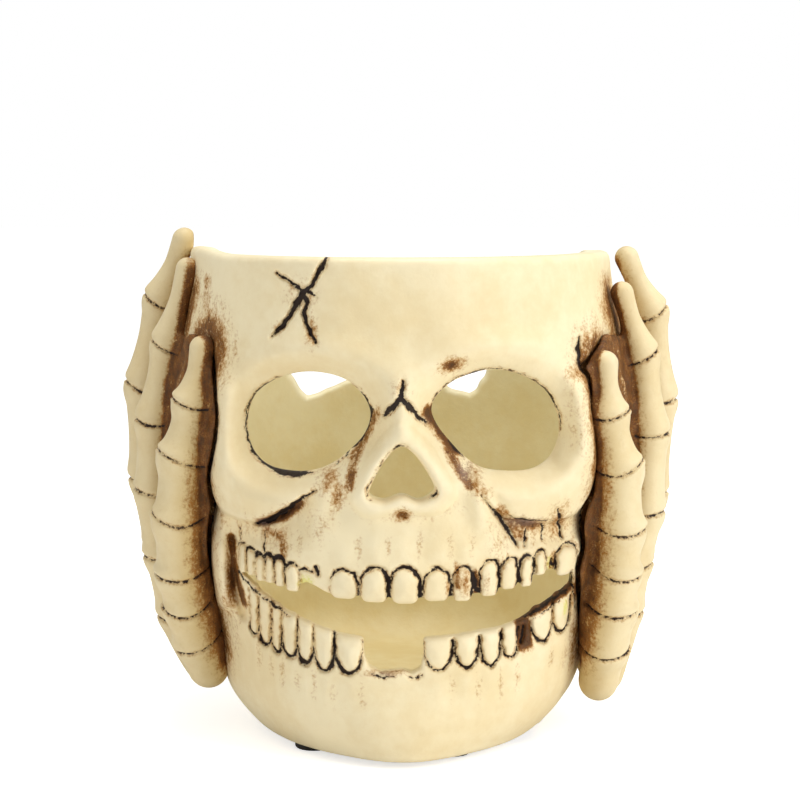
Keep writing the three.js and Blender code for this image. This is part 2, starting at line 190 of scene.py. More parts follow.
# Teeth, from the viewer's left to right: left edge, right edge, place of the arch's top, and the half
# widths of the dark line down the left side, over the arch and down the right side.
UPPER_TEETH = [
    (-40.8, -38.6, -39.9, 0.1, 0.22, 0.12), (-38.5, -36.3, -37.8, 0.12, 0.5, 0.12),
    (-36.2, -33.8, -35.5, 0.15, 0.62, 0.12), (-33.7, -31.3, -33, 0.15, 0.62, 0.2),
    (-31.2, -28.6, -30.5, 0.15, 0.7, 0.4), (-28.4, -24.8, -27, 0.1, 0.5, 0.12),
    (-17.3, -10.2, -14, 0.06, 0.36, 0.3), (-9.8, -2.8, -5.9, 0.08, 0.42, 0.52),
    (-2.3, 4.9, 0.6, 0.1, 0.42, 0.55), (5.6, 12.4, 9.3, 0.25, 0.4, 0.42), (13, 17.8, 16, 0.15, 0.3, 0.5),
    (19.6, 24.4, 23, 0.3, 0.35, 0.42), (24.8, 29.2, 27.8, 0.2, 0.32, 0.5),
    (29.8, 33.2, 31.6, 0.35, 0.45, 0.3), (33.6, 36.6, 35.4, 0.3, 0.4, 0.1), (39, 45, 42.6, 0.4, 0.3, 0.1),
]
LOWER_TEETH = [
    (-38, -35.6, -36.6, 0.12, 0.3, 0.15), (-35.4, -32.3, -33.4, 0.15, 0.4, 0.18),
    (-32.1, -29.6, -30.4, 0.15, 0.4, 0.2), (-29.4, -25.5, -27, 0.18, 0.42, 0.25),
    (-25.3, -21.4, -23.6, 0.2, 0.5, 0.25), (-21.2, -16.2, -18.4, 0.2, 0.42, 0.45),
    (-15.9, -9.2, -12.4, 0.3, 0.55, 0.1), (5.9, 13, 9.4, 0.1, 0.3, 0.45),
    (13.5, 19.5, 16.6, 0.25, 0.42, 0.42), (20, 25, 22.6, 0.3, 0.4, 0.36),
    (25.4, 29.4, 27.8, 0.1, 0.28, 0.35), (32.6, 38.4, 36.6, 0.3, 0.4, 0.1),
    (38.6, 43.4, 41.4, 0.1, 0.4, 0.2),
]
UPPER_BITE = [
    (-46, 48.6), (-39.7, 46.8), (-32.4, 44.9), (-26.4, 43.9), (-22.8, 45.4), (-20.6, 44.4), (-17.4, 42.6),
    (-13.4, 42.5), (0, 42), (12, 42), (22, 42.8), (28, 44.2), (32.2, 44.7), (34, 46.2), (37, 47),
    (39.4, 46.2), (41, 45.6), (46, 45.8),
]
UPPER_GUM = [
    (-46, 55.5), (-40.5, 54.1), (-34.5, 52.4), (-24.6, 50.9), (-13.4, 50.5), (0, 51), (16, 51), (27, 52.2),
    (38, 53), (46, 54),
]
LOWER_BITE = [
    (-46, 50), (-39.7, 46.6), (-34.6, 42.1), (-28.5, 38.3), (-22.2, 35.7), (-15.9, 33.8), (-9.3, 32.9),
    (6.1, 33), (13.5, 33.3), (19.7, 34), (24.7, 34.2), (29.8, 35.5), (36.5, 38.8), (43.5, 42), (47, 44),
]
LOWER_GUM = [
    (-46, 38), (-40, 33.5), (-37, 30.6), (-33.8, 28.6), (-31, 27.6), (-28, 26.8), (-24.8, 25.6),
    (-18.5, 24.4), (-3.7, 24.1), (7.3, 24.5), (17.2, 25.1), (24.8, 25.5), (28.6, 26.8), (32, 27.8),
    (35.6, 28.6), (40.5, 30), (46, 32.5),
]


def height_of(points, x):
    return np.interp(x, [p[0] for p in points], [p[1] for p in points])


# The grin, between the two rows: it rises at both corners, and dips where two lower teeth are missing.
NOTCH = 1.0  # how far the gaps between the upper teeth reach in from the biting edge
GRIN_LEFT, GRIN_RIGHT = -40.6, 43.6
MISSING = [
    (-9, 32.8), (-8.8, 28.6), (-7.6, 25.8), (-4.8, 24.3), (-1.6, 24.6), (0.6, 24.9), (3, 24.1), (5, 25.3),
    (5.7, 28.4), (5.8, 32.8),
]


def grin_outline():
    across = np.linspace(GRIN_LEFT, GRIN_RIGHT, 44)
    upper = [(x, height_of(UPPER_BITE, x) + NOTCH) for x in across]
    lower = [(x, height_of(LOWER_BITE, x)) for x in across if not MISSING[0][0] < x < MISSING[-1][0]]
    left = [p for p in lower if p[0] <= MISSING[0][0]]
    right = [p for p in lower if p[0] >= MISSING[-1][0]]
    return np.array(left + MISSING + right + upper[::-1])


GRIN = grin_outline()


def tooth_distance(x, z, tooth):
    """Signed distance to a tooth's rounded outline on the face."""
    left, right, bite, gum = tooth[:4]
    middle, half = (bite + gum) / 2, abs(gum - bite) / 2
    corner = (right - left) * 0.32
    dx = np.abs(x - (left + right) / 2) - ((right - left) / 2 - corner)
    dz = np.abs(z - middle) - (half - corner)
    return np.hypot(np.maximum(dx, 0), np.maximum(dz, 0)) + np.minimum(np.maximum(dx, dz), 0) - corner


SIDE_THIN = 0.35  # the paint between the lower teeth is this much thinner on their left sides
GUM_THICK = 1.25  # and this much thicker where they meet the gum


def tooth_rows():
    """Each tooth as (left, right, biting edge, gum, place of the arch's top, line widths, is upper)."""
    rows = []
    for teeth, bites, gums, upper in ((UPPER_TEETH, UPPER_BITE, UPPER_GUM, True),
                                      (LOWER_TEETH, LOWER_BITE, LOWER_GUM, False)):
        for i, (left, right, top, *widths) in enumerate(teeth):
            middle = (left + right) / 2
            uneven = 0.3 * math.sin(2.3 * i) if upper else 0
            bite = height_of(bites, middle) - 0.1 + uneven
            if not upper:
                widths = [widths[0] * SIDE_THIN, widths[1] * GUM_THICK, widths[2]]
            rows.append((left, right, bite, height_of(gums, middle) + 0.35 * math.cos(1.7 * i), top, widths,
                         upper))
    return rows


TEETH = tooth_rows()


def gum_line(tooth):
    """The dark groove round a tooth on every side but its biting edge: points (x, z, half width)."""
    left, right, bite, gum, top, (left_width, arch, right_width), upper = tooth
    out = 1 if upper else -1
    shoulder = min((right - left) * (0.62 if upper else 1.15), (0.5 if upper else 0.72) * abs(gum - bite))
    low_end = 0.25 if right < -18 else 1  # between the left back teeth the paint fades toward the bite
    points = [(left, bite + out * 0.9, left_width * low_end), (left + 0.1, gum - out * shoulder, left_width)]
    for share in (0.25, 0.5, 0.75, 1.0):
        angle = share * math.pi / 2
        points.append((top - (top - left) * math.cos(angle), gum - out * shoulder * (1 - math.sin(angle)),
                       left_width + (arch - left_width) * min(1, 1.6 * share)))
    for share in (0.25, 0.5, 0.75, 1.0):
        angle = share * math.pi / 2
        points.append((top + (right - top) * math.sin(angle), gum - out * shoulder * (1 - math.cos(angle)),
                       arch + (right_width - arch) * share))
    points.append((right, bite + out * 0.9, right_width * 1.1 * low_end))
    return points


# Cracks and dark creases: (x, z, half width). The last number of each entry is how deep it is cut.
CRACKS = [
    (
        [
            (-17.6, 127.5, 0.3), (-18.3, 125, 0.75), (-20, 122.5, 0.5), (-21.4, 119.6, 0.6),
            (-23.9, 117.6, 1.0), (-26, 113.6, 0.6), (-28.4, 110, 0.75), (-31.4, 106.8, 0.3),
        ],
        1.7,
    ),
    ([(-30.4, 122.6, 0.2), (-28.2, 121.4, 0.5), (-25.6, 119.8, 0.45), (-23.6, 118, 0.6)], 1.4),
    (
        [
            (-23.8, 118, 0.7), (-22.6, 115.6, 0.6), (-23.4, 112.4, 0.65), (-22.2, 109, 0.5),
            (-20.6, 105.9, 0.45),
        ],
        1.5,
    ),
    ([(-22.4, 118.2, 0.6), (-20.4, 117.2, 0.3)], 0.8),
    ([(0.8, 97, 0.35), (0.4, 94, 0.75), (0.1, 92.4, 0.85)], 1.5),
    ([(0.1, 92.8, 0.8), (-1.6, 90.6, 0.75), (-3.8, 88.2, 0.5)], 1.5),
    ([(0.1, 92.8, 0.8), (2.6, 90.2, 0.7), (4.4, 87.6, 0.6), (6.4, 86, 0.4)], 1.5),
    (
        [
            (-35.8, 59.4, 0.45), (-33, 60.4, 0.8), (-29.6, 62.6, 0.75), (-26.4, 65.4, 0.7),
            (-23.2, 67.8, 0.4), (-20.4, 69.6, 0.1),
        ],
        1.6,
    ),
    ([(19.8, 68.2, 0.12), (22, 65.6, 0.25), (24.4, 62.4, 0.55), (26.6, 58.8, 0.6), (29, 54.6, 0.3)], 1.6),
    ([(31, 36, 0.25), (34.5, 37.6, 0.45), (38.4, 39.6, 0.35), (42.6, 41.4, 0.25)], 0.7),
    ([(33, 35.4, 0.15), (37, 37.4, 0.3), (41, 39.6, 0.15)], 0.5),
    ([(26.3, 62.6, 0.15), (29.4, 61.6, 0.4), (33, 60.9, 0.3), (38, 60.3, 0.2)], 1.0),
    (
        [(-41, 46.6, 0.45), (-38, 44, 0.4), (-34.6, 41.3, 0.25), (-31, 39.2, 0.35), (-27.6, 37.3, 0.12)],
        0.6,
    ),
    ([(43.4, 46.6, 0.3), (43.7, 43, 0.38), (44.6, 39, 0.3), (45.2, 35.4, 0.12)], 1.2),
    ([(44.9, 106.6, 0.1), (44.6, 103.4, 0.65), (44.7, 100, 0.5), (45.2, 97.8, 0.2)], 1.0),
    ([(-20.7, 50.4, 0.45), (-20.2, 48.6, 0.5)], 1.2),
    ([(-25.2, 49.2, 0.3), (-23.6, 49.7, 0.42), (-21.8, 49.2, 0.3)], 1.0),
    ([(37.8, 50.6, 0.3), (38.2, 49, 0.55)], 1.2), ([(-40.4, 58.6, 0.12), (-40.3, 54.4, 0.2)], 0.6),
    ([(-33.6, 58, 0.15), (-33.9, 53, 0.3)], 0.6),
    ([(18.2, 49.6, 0.3), (18.4, 45.6, 0.6), (19.3, 44, 0.5)], 1.2),
    ([(30.8, 34, 0.5), (30.4, 29.8, 0.4)], 1.4),
    ([(-7.6, 24.6, 0.15), (-4.6, 23.2, 0.35), (-1.4, 23.6, 0.1)], 0.8),
    ([(1.4, 23.8, 0.1), (3.4, 22.9, 0.4), (5.4, 24, 0.2)], 0.8),
    ([(31.2, 58.4, 0.15), (31.2, 54.4, 0.35)], 0.7), ([(35.6, 59.4, 0.3), (35.8, 55.4, 0.4)], 0.8),
    ([(39.6, 63.2, 0.35), (40.2, 58, 0.5), (40.8, 54.6, 0.3)], 0.9),
]


# Half width of the line round each opening, by direction in degrees (0 is the viewer's right, 90 up).
RIM_LINES = [
    (
        LEFT_EYE, (-22.8, 85.8),
        [
            (0, 0.3), (10, 0.75), (18, 0.5), (34, 0.2), (44, -0.4), (60, -2), (108, -2), (122, 0.15),
            (150, 0.3), (180, 0.3), (205, 0.4), (228, 0.5), (248, 0.85), (262, 0.6), (276, 0.2),
            (284, -0.6), (296, -0.8), (305, 0.3), (312, 0), (322, 0.35), (330, 0.1), (340, 0.6), (350, 0.5),
        ],
    ),
    (
        RIGHT_EYE, (23.8, 86.1),
        [
            (0, 0.25), (30, 0.32), (55, 0.16), (90, 0.22), (125, 0.25), (155, 0.12), (172, 0.05),
            (186, -0.3), (198, 0.1), (206, 0.42), (220, 0.45), (228, 0.15), (238, -1), (290, -2),
            (325, -1.5), (345, 0),
        ],
    ),
    (
        NOSE, (0.3, 72.6),
        [
            (5, -1.5), (40, -1.5), (70, -0.4), (82, 0.25), (95, 0.35), (110, 0.1), (150, 0.16), (200, 0.18),
            (216, 0.1), (226, -1.5), (300, -2), (322, 0), (333, 0.5), (345, 0.2),
        ],
    ),
]

# Outer edge of the face on each side, from the rim down to the foot of the jaw.
FACE_EDGE = {
    -1: [
        (-45.6, 134), (-46, 124), (-46.4, 116), (-47, 108), (-46.4, 100), (-45.4, 92), (-44.9, 85),
        (-46, 78), (-47.6, 71), (-47.4, 66.5), (-46.8, 62.5), (-47.8, 57), (-48.2, 50), (-47.8, 42),
        (-47.2, 34), (-46.6, 27), (-46, 20), (-45.6, 10), (-45.4, -6),
    ],
    1: [
        (56.5, 134), (56, 124), (53.8, 115), (50.6, 107), (47.6, 101.4), (44.6, 98.4), (46.6, 95.4),
        (47.6, 88), (49, 80), (49.6, 73), (48.4, 67), (46.4, 63), (45.4, 58), (45.8, 52), (44.6, 47),
        (44.8, 42), (45.6, 35), (46.8, 27), (47.6, 18), (48, 8), (48, -6),
    ],
}


def edge_line(side):
    """The near-black line in the groove just outside the face, thickest beside the cheek."""
    heights = [20, 30, 40, 58, 66, 80, 100, 108, 122]
    widths = [-0.6, 0.05, 0.25, 0.3, 0.4, 0.35, 0.3, -0.2, -0.6]
    return [(x + side * 0.7, z, float(np.interp(z, heights, widths))) for x, z in
            through(FACE_EDGE[side], 4, closed=False)]


EDGE_LINES = {side: edge_line(side) for side in (-1, 1)}


def outside_face(x, z, side):
    """Distance outward from the face's edge: negative on the face."""
    edge = through(FACE_EDGE[side], 4, closed=False)
    at = np.interp(z, edge[::-1, 1], edge[::-1, 0])
    return np.sign(side * (x - at)) * line_distance(x, z, edge)


def crack_distance(x, z):
    """Distance to the nearest crack, crease or gum line, less its half width."""
    x, z = wander(x, z)
    lines = [points for points, _ in CRACKS] + [gum_line(tooth) for tooth in TEETH]
    best = np.full(np.broadcast(x, z).shape, 1e3)
    for points in lines:
        best = np.minimum(best, line_distance(x, z, points))
    for opening in RIM_LINES:
        best = np.minimum(best, rim_line(x, z, *opening))
    for side in (-1, 1):
        best = np.minimum(best, line_distance(x, z, EDGE_LINES[side]))
    return best


def wander(x, z):
    """Shifts places on the face a little to and fro, so that drawn lines get an uneven hand."""
    return x + 0.2 * lumps(x, 0, z, 3.1, 61), z + 0.2 * lumps(x, 0, z, 3.3, 62)


def rim_line(x, z, outline, centre, widths):
    """A dark line just outside an opening's lip. Its half width goes by the direction from the centre."""
    angle = np.degrees(np.arctan2(z - centre[1], x - centre[0])) % 360
    half = np.interp(angle, [w[0] for w in widths], [w[1] for w in widths], period=360)
    return np.abs(inside_distance(x, z, outline) - 0.45) - half


# ---- Relief of the face ----

def eye_rings(x, z):
    """Sockets that sink towards each opening, with a soft raised ring round them."""
    total = 0
    for outline, outer in ((LEFT_EYE, -1), (RIGHT_EYE, 1)):
        d = inside_distance(x, z, outline)
        sink = 1 - smoothstep(-0.5, 6.5, d)
        ring = np.exp(-((d - 7.5) / 3.4) ** 2)
        low_outer = smoothstep(-6, 12, outer * x - 24) * smoothstep(92, 76, z)
        total = total - (2.6 + 1.4 * low_outer) * sink + 0.9 * ring
    return total


def nose_relief(x, z):
    """The bridge, and the thick horseshoe rim round the opening."""
    inner = inside_distance(x, z, NOSE)
    outer = -inside_distance(x, z, NOSE_RIM)
    share = np.clip(outer / (np.abs(inner) + np.abs(outer) + 0.1), 0, 1)
    rim = np.where((inner > -1.5) & (outer > 0), np.sin(np.pi * np.clip(share * 0.62, 0, 1)) ** 0.8, 0)
    bridge = np.exp(-(x / 4.6) ** 2) * smoothstep(80, 88, z) * smoothstep(104, 93, z)
    beside = bump(x, z, (-14.5, 71), (2.4, 9)) + bump(x, z, (16.4, 71), (2.4, 9))
    above = bump(x, z, (-9.5, 84), (3, 6), -0.4) + bump(x, z, (9.5, 84), (3, 6), 0.4)
    return 3.4 * rim + 3.2 * bridge - 1.6 * beside - 1.6 * above


CHEEK = {
    -1: (
        [(-43.5, 90), (-43.6, 79), (-41, 69.4), (-33, 67.4), (-24, 70.8), (-15.5, 72.5)],
        [
            (-48.6, 68), (-46.6, 64.4), (-43.4, 62), (-39, 60.9), (-34.5, 61.6), (-29, 64.6), (-24, 67.6),
            (-19.5, 69.8),
        ],
    ),
    1: (
        [(45, 90), (45.6, 79), (42.6, 70), (35, 68.6), (27, 71), (20, 73.6)],
        [
            (50, 68.4), (48, 65.4), (44.5, 62.2), (39.5, 60.6), (33, 61.2), (27, 62.8), (23.5, 65),
            (19.6, 69),
        ],
    ),
}


def cheek_relief(x, z):
    """Each cheekbone: a rounded arch under and outside the socket, with an undercut lower edge."""
    total = 0
    for side, (spine, edge) in CHEEK.items():
        curve = through(spine, closed=False)
        lower = through(edge, closed=False)
        arch = np.exp(-(line_distance(x, z, curve) / 6.2) ** 2)
        below = line_distance(x, z, lower)
        under = z < np.interp(side * x, *zip(*sorted((side * px, pz) for px, pz in lower)))
        here = under * smoothstep(18.5, 26, side * x) * smoothstep(50, 47, side * x)
        drop = smoothstep(0, 1.8, below) * smoothstep(15, 2, below) * smoothstep(49, 56, z)
        total = total + 2.6 * arch * (1 - 0.65 * here) - 3.4 * drop * here
    return total


def jaw_relief(x, z):
    """Jaws: bone over the roots of the teeth, the chin and the uprights at the corners of the mouth."""
    roots = 0
    for left, right, _, gum, top, _, upper in TEETH:
        out = 1 if upper else -1
        length = 6.5 if upper else 5
        spread = (right - left) * 0.38
        roots = roots + np.exp(-((x - top) / spread) ** 2 - ((z - gum - out * length * 0.7) / length) ** 2)
    canine = np.exp(-(line_distance(x, z, [(17, 69), (21.4, 62), (24.8, 56)]) / 3.4) ** 2)
    behind = np.exp(-(line_distance(x, z, [(23.6, 67.2), (27, 61.6), (29.6, 56.4)]) / 1.6) ** 2)
    muzzle = np.exp(-(x / 27) ** 2) * smoothstep(38, 50, z) * smoothstep(68, 54, z)
    chin = bump(x, z, (1, 10), (20, 8)) + 0.5 * bump(x, z, (-26, 16), (12, 9)) + 0.5 * bump(x, z, (27, 16),
                                                                                            (12, 9))
    dip = bump(x, z, (0, 21), (30, 3.4))
    upright = np.exp(-(line_distance(x, z, [(-45.2, 60), (-45.8, 53), (-45.6, 46), (-45, 38)]) / 2.2) ** 2)
    groove = np.exp(-(line_distance(x, z, [(-42.5, 54), (-42.3, 46), (-41, 40), (-39.8, 35)]) / 1.3) ** 2)
    foot = np.exp(-((x - 1.5) / 19) ** 2) * np.interp(z, [0, 1.7, 4, 9, 16, 22], [7.4, 6.8, 4.6, 1.8, 0.5, 0])
    return (0.5 * roots + 1.8 * muzzle + 1.4 * chin + foot - 0.7 * dip + 2.2 * upright - 2.4 * groove
            + 1.3 * canine - 1.2 * behind)


def tooth_relief(x, z):
    total = 0
    for tooth in TEETH:
        half = (tooth[1] - tooth[0]) / 2
        total = total + min(1.5, 0.45 * half) * np.sqrt(np.clip(-tooth_distance(x, z, tooth) / half, 0, 1))
    return total


def brow_relief(x, z):
    """Brow ridges, the swelling between them and the sunk temples."""
    ridge = bump(x, z, (-24, 103), (13, 4.2), -0.04) + bump(x, z, (25, 103.6), (13, 4.2), 0.04)
    middle = bump(x, z, (0.5, 100), (8, 5.5))
    recess = bump(x, z, (-28.4, 116), (3.2, 4.5), 0.7)
    return 1.5 * ridge + 1.8 * middle - 0.7 * recess


def edge_relief(x, z):
    """The groove beside the face, steep on the face's side, where the hands lie against the head."""
    total = 0
    for side in (-1, 1):
        out = outside_face(x, z, side)
        groove = smoothstep(-0.5, 1.3, out) * smoothstep(5.4, 2.4, out)
        lip = np.exp(-((out + 2.6) / 2.4) ** 2) * smoothstep(62, 70, z) * smoothstep(100, 92, z)
        depth = np.interp(z, [6, 20, 34, 60, 99, 107], [0, 1, 2.6, 3.6, 3.4, 0])
        total = total - depth * groove + 0.9 * lip
    return total


def cracks_relief(x, z):
    x, z = wander(x, z)
    total = 0
    for points, depth in CRACKS + [(gum_line(tooth), 1.4) for tooth in TEETH]:
        total = np.maximum(total, depth * smoothstep(0.5, -0.3, line_distance(x, z, points)))
    for opening in RIM_LINES:
        total = np.maximum(total, 0.5 * smoothstep(0.5, -0.3, rim_line(x, z, *opening)))
    return -total


def pits(x, z):
    pit = bump(x, z, (0.5, 63.9), (1.5, 1.2)) * 1.1
    spot = bump(x, z, (12.6, 100), (3, 1.6), 0.2) * 0.5
    return -pit - spot


def face_relief(x, z):
    """How far the face stands out of the plain plan, at (x, z)."""
    soft = 0.22 * lumps(x, 0 * x, z, 21, 3) + 0.12 * lumps(x, 0 * x, z, 8, 5)
    parts = (eye_rings, nose_relief, cheek_relief, jaw_relief, tooth_relief, brow_relief, edge_relief,
             cracks_relief, pits)
    return np.maximum(soft + sum(part(x, z) for part in parts), -DEEPEST)


# ---- Solid fields ----

def plan_radius(x, y, z):
    """Distance from the axis to the plain outer skin, in the direction of (x, y)."""
    side = np.interp(z, *SIDE_CURVE)
    front, back = np.interp(z, *FRONT_CURVE), np.interp(z, *BACK_CURVE)
    reach = np.where(y < 0, front, back)
    r = np.hypot(x, y) + 1e-6
    return r, r / np.hypot(x / side, y / reach + 1e-9)


def face_weight(y, r):
    return smoothstep(0.02, 0.3, -y / r)


def skull_field(x, y, z):
    """Signed distance, near enough, to the finished casting on a grid of broadcast axes."""
    r, skin = plan_radius(x, y, z)
    relief = face_relief(x[:, :, 0] + 0 * z[:, 0, :], 0 * x[:, :, 0] + z[:, 0, :])[:, None, :]
    uneven = 0.25 * lumps(x, y, z, 26, 11)
    body = r - skin - face_weight(y, r) * relief - uneven
    body = soft_max(body, BASE - z, 2)
    rim_height = RIM + 1.3 * smoothstep(-42, -53, x) * smoothstep(12, -8, y) - 5 * smoothstep(2, 28, y)
    body = soft_max(body, z - rim_height, 2.2)

    near_mouth = smoothstep(22, 30, z) * smoothstep(58, 50, z) * smoothstep(-20, -34, y)
    wall = WALL - 2.4 * near_mouth
    bowl = soft_max(r - (skin - wall), FLOOR - z, 13)
    body = soft_max(body, -bowl, 1.2)
    del r, skin, bowl, wall, near_mouth

    face = (x[:, :, 0], z[:, 0, :])
    ahead = y + 12  # the face openings are cut from here forward
    for outline, edge in ((LEFT_EYE, 3.2), (RIGHT_EYE, 3.2), (NOSE, 2.4)):
        hole = inside_distance(*face, outline)[:, None, :]
        body = soft_max(body, -np.maximum(hole, ahead), edge)
    gap = inside_distance(*face, GRIN)
    for tooth in TEETH:
        gap = np.maximum(gap, -tooth_distance(*face, tooth))
    body = soft_max(body, -np.maximum(gap[:, None, :], ahead), 1.3)

    broken = inside_distance(*face, np.array(BACK_RIM)) + 0.5 * lumps(*face[:1], 0 * face[0], face[1], 6, 21)
    ramp_start = 14 + np.minimum(2 * np.abs(RIM + 1 - z), 9)
    body = soft_max(body, -np.maximum(broken[:, None, :], ramp_start - y), 1.6)
    return air_way(body, x, y, z)


def air_way(body, x, y, z):
    """Flat seat, pocket, channel and hole for the air fitting."""
    from_fitting = np.hypot(x - FITTING[0], y - FITTING[1])
    seat_radius, pocket_radius, hole_radius, channel_half = 9.2, 9, 4.5, 5.5
    channel_top, seat_top, hole_top = 9.6, 24, 18
    seat = np.maximum(from_fitting - seat_radius, np.maximum(FLOOR - z, z - seat_top))
    pocket = np.maximum(from_fitting - pocket_radius, z - channel_top)
    beside = np.abs(x - FITTING[0]) - channel_half
    channel = np.maximum(np.maximum(beside, FITTING[1] - y), z - channel_top)
    hole = np.maximum(from_fitting - hole_radius, z - hole_top)
    for cut, edge in ((seat, 0.8), (pocket, 0.8), (channel, 0.8), (hole, 0.6)):
        body = soft_max(body, -cut, edge)
    return body


# ---- Hands ----

# Joints of each digit, from the fingertip down to the wrist, and the radius of its widest bone.
LEFT_DIGITS = [
    (
        6.1,
        [
            (-49.9, -34.5, 102.8), (-52.3, -34, 88.4), (-55.4, -33.5, 74.6), (-56.7, -33, 58.4),
            (-56.3, -31, 44.4), (-54.8, -28.5, 35.6), (-52.2, -25.5, 25.8), (-50, -21.5, 17.8),
        ],
    ),
    (
        5.5,
        [
            (-55.1, -18, 122.2), (-60.4, -16, 101.8), (-63.8, -15.5, 82), (-64, -15.5, 63.4),
            (-62, -14.5, 46.6), (-58.8, -12, 31), (-52, -10, 17),
        ],
    ),
    (
        5.9,
        [
            (-57.6, 0, 129.3), (-64.1, 3, 112.5), (-68.5, 4, 89), (-67.3, 4, 64.6), (-63.6, 3, 46),
            (-58.6, 1, 30), (-51.5, -1, 16),
        ],
    ),
    (
        5.7,
        [
            (-55, 22, 115), (-61.5, 22, 98), (-64.2, 22, 78), (-63.4, 21, 58), (-59.5, 16, 40),
            (-53.5, 8, 24),
        ],
    ),
    (6.0, [(-46, 45, 64), (-52, 37, 52), (-55, 27, 42), (-55, 15, 30)]),
]
RIGHT_DIGITS = [
    (
        6.1,
        [
            (51.9, -34.5, 98.9), (52.6, -34, 85.6), (55.6, -33.5, 71.6), (56, -33, 55.8), (55.5, -31, 44.8),
            (55, -29, 35), (53.2, -26, 23.6), (52, -22, 14.4),
        ],
    ),
    (
        5.5,
        [
            (57.6, -18, 116), (63, -16, 99.2), (65, -15.5, 78.8), (63.8, -15.5, 58), (61, -14.5, 44.4),
            (59, -12.5, 32), (54.6, -11, 14),
        ],
    ),
    (
        5.9,
        [
            (60.6, 0, 124.4), (67.2, 3, 109.5), (69, 4, 85.6), (66.4, 4, 60), (62.6, 3, 44), (59.5, 1, 28),
            (54, -1, 14),
        ],
    ),
    (5.7, [(57, 22, 112), (62.5, 22, 95), (64.2, 22, 76), (63, 21, 57), (59.5, 16, 40), (53.5, 8, 24)]),
    (6.0, [(46, 45, 64), (52, 37, 52), (55, 27, 42), (55, 15, 30)]),
]
# Radius at each joint, as a share of the widest, and how far each digit's bones flare outward at their foot.
TAPER = [0.55, 0.84, 1.0, 1.03, 1.0, 0.96, 0.9, 0.84]
FLARES = [0.17, 0.07, 0.06, 0.06, 0.06]
PALM = (52.5, -5, 36)
PALM_RADII = (10, 25, 20)


def along_bone(x, y, z, top, low):
    """Share of the way down a bone, distance from its axis, and millimetres past its lower joint."""
    axis = np.subtract(low, top)
    length = float(np.linalg.norm(axis))
    axis = axis / length
    dx, dy, dz = x - top[0], y - top[1], z - top[2]
    run = dx * axis[0] + dy * axis[1] + dz * axis[2]
    t = np.clip(run / length, 0, 1)
    reach = t * length
    off = np.sqrt((dx - axis[0] * reach) ** 2 + (dy - axis[1] * reach) ** 2 + (dz - axis[2] * reach) ** 2)
    return t, off, run - length


def digit_field(x, y, z, radius, joints, flare, seed):
    """One finger: bones that are waisted and flare at their lower end, with a thin line at each joint."""
    rng = np.random.default_rng(seed)
    whole = None
    line = np.full(np.broadcast(x, y, z).shape, 9.0, dtype=np.float32)
    for i, (top, low) in enumerate(zip(joints[:-1], joints[1:])):
        t, off, past = along_bone(x, y, z, top, low)
        start, end = radius * TAPER[i], radius * TAPER[i + 1]
        thick = start + (end - start) * smoothstep(0.3, 0.95, t)
        outward = (x - top[0] - t * (low[0] - top[0])) * math.copysign(1, low[0]) / (off + 0.5)
        thick = thick - 0.06 * radius * np.sin(np.pi * np.clip(t * 1.15, 0, 1))
        foot = np.exp(-((t - 0.9) / 0.13) ** 2) if i < len(joints) - 2 else 0
        thick = thick + radius * (0.03 + flare * smoothstep(0, 1, outward)) * foot
        bone = off - thick
        whole = bone if whole is None else soft_min(whole, bone, 1.2)
        if i < len(joints) - 2:
            lean, bow = rng.uniform(-0.16, 0.16), rng.uniform(0.02, 0.06)
            side = (x - low[0]) * math.copysign(1, low[0])
            skew = past + lean * side + bow * (side * side - 9)
            near = np.where(np.abs(off) < radius * 1.35, np.abs(skew), 9)
            line = np.minimum(line, near)
    return whole, line


def hand_field(x, y, z, digits, side):
    """A hand cast pressed against the head: fingers, palm, and the filler between the fingers."""
    whole = None
    line = None
    for i, (radius, joints) in enumerate(digits):
        finger, joint = digit_field(x, y, z, radius, joints, FLARES[i], 40 + i + (side > 0) * 10)
        whole = finger if whole is None else soft_min(whole, finger, 1.4)
        line = joint if line is None else np.minimum(line, joint)
    centre = [side * PALM[0], PALM[1], PALM[2]]
    scaled = [(value - c) / r for value, c, r in zip((x, y, z), centre, PALM_RADII)]
    palm = (np.sqrt(scaled[0] ** 2 + scaled[1] ** 2 + scaled[2] ** 2) - 1) * min(PALM_RADII)
    whole = soft_min(whole, palm, 5)
    whole = whole + 0.9 * np.exp(-(line / 0.5) ** 2)
    r, skin = plan_radius(x, y, z)
    head = r - skin
    top = np.interp(y, [-40, -28, -14, 5, 24], [96, 106, 104, 98, 90])
    beside = outside_face(x[:, :, 0], z[:, 0, :], side)[:, None, :]
    web = np.maximum(head - 1.3 - 0.45 * lumps(x, y, z, 5, 31), np.maximum(z - top, 20 - z))
    web = np.maximum(web, np.maximum(1.4 - beside, y - 24))
    whole = soft_min(whole, web, 2.0)
    return soft_max(whole, -(head + EMBED), 0.3), line, head


# ---- From a field to a mesh ----

def grid_axes(low, high):
    x, y, z = (np.arange(a, b + VOXEL / 2, VOXEL, dtype=np.float32) for a, b in zip(low, high))
    return x[:, None, None], y[None, :, None], z[None, None, :]


def polygons_of(field, low):
    """The zero surface of a field as vertices in millimetres and quads."""
    grid = openvdb.FloatGrid(3.0)
    grid.copyFromArray(np.clip(field, -3, 3).astype(np.float32))
    points, _, quads = grid.convertToPolygons(isovalue=0.0, adaptivity=0.0)
    points, quads = largest_body(points, quads)
    return points * VOXEL + np.array(low), quads


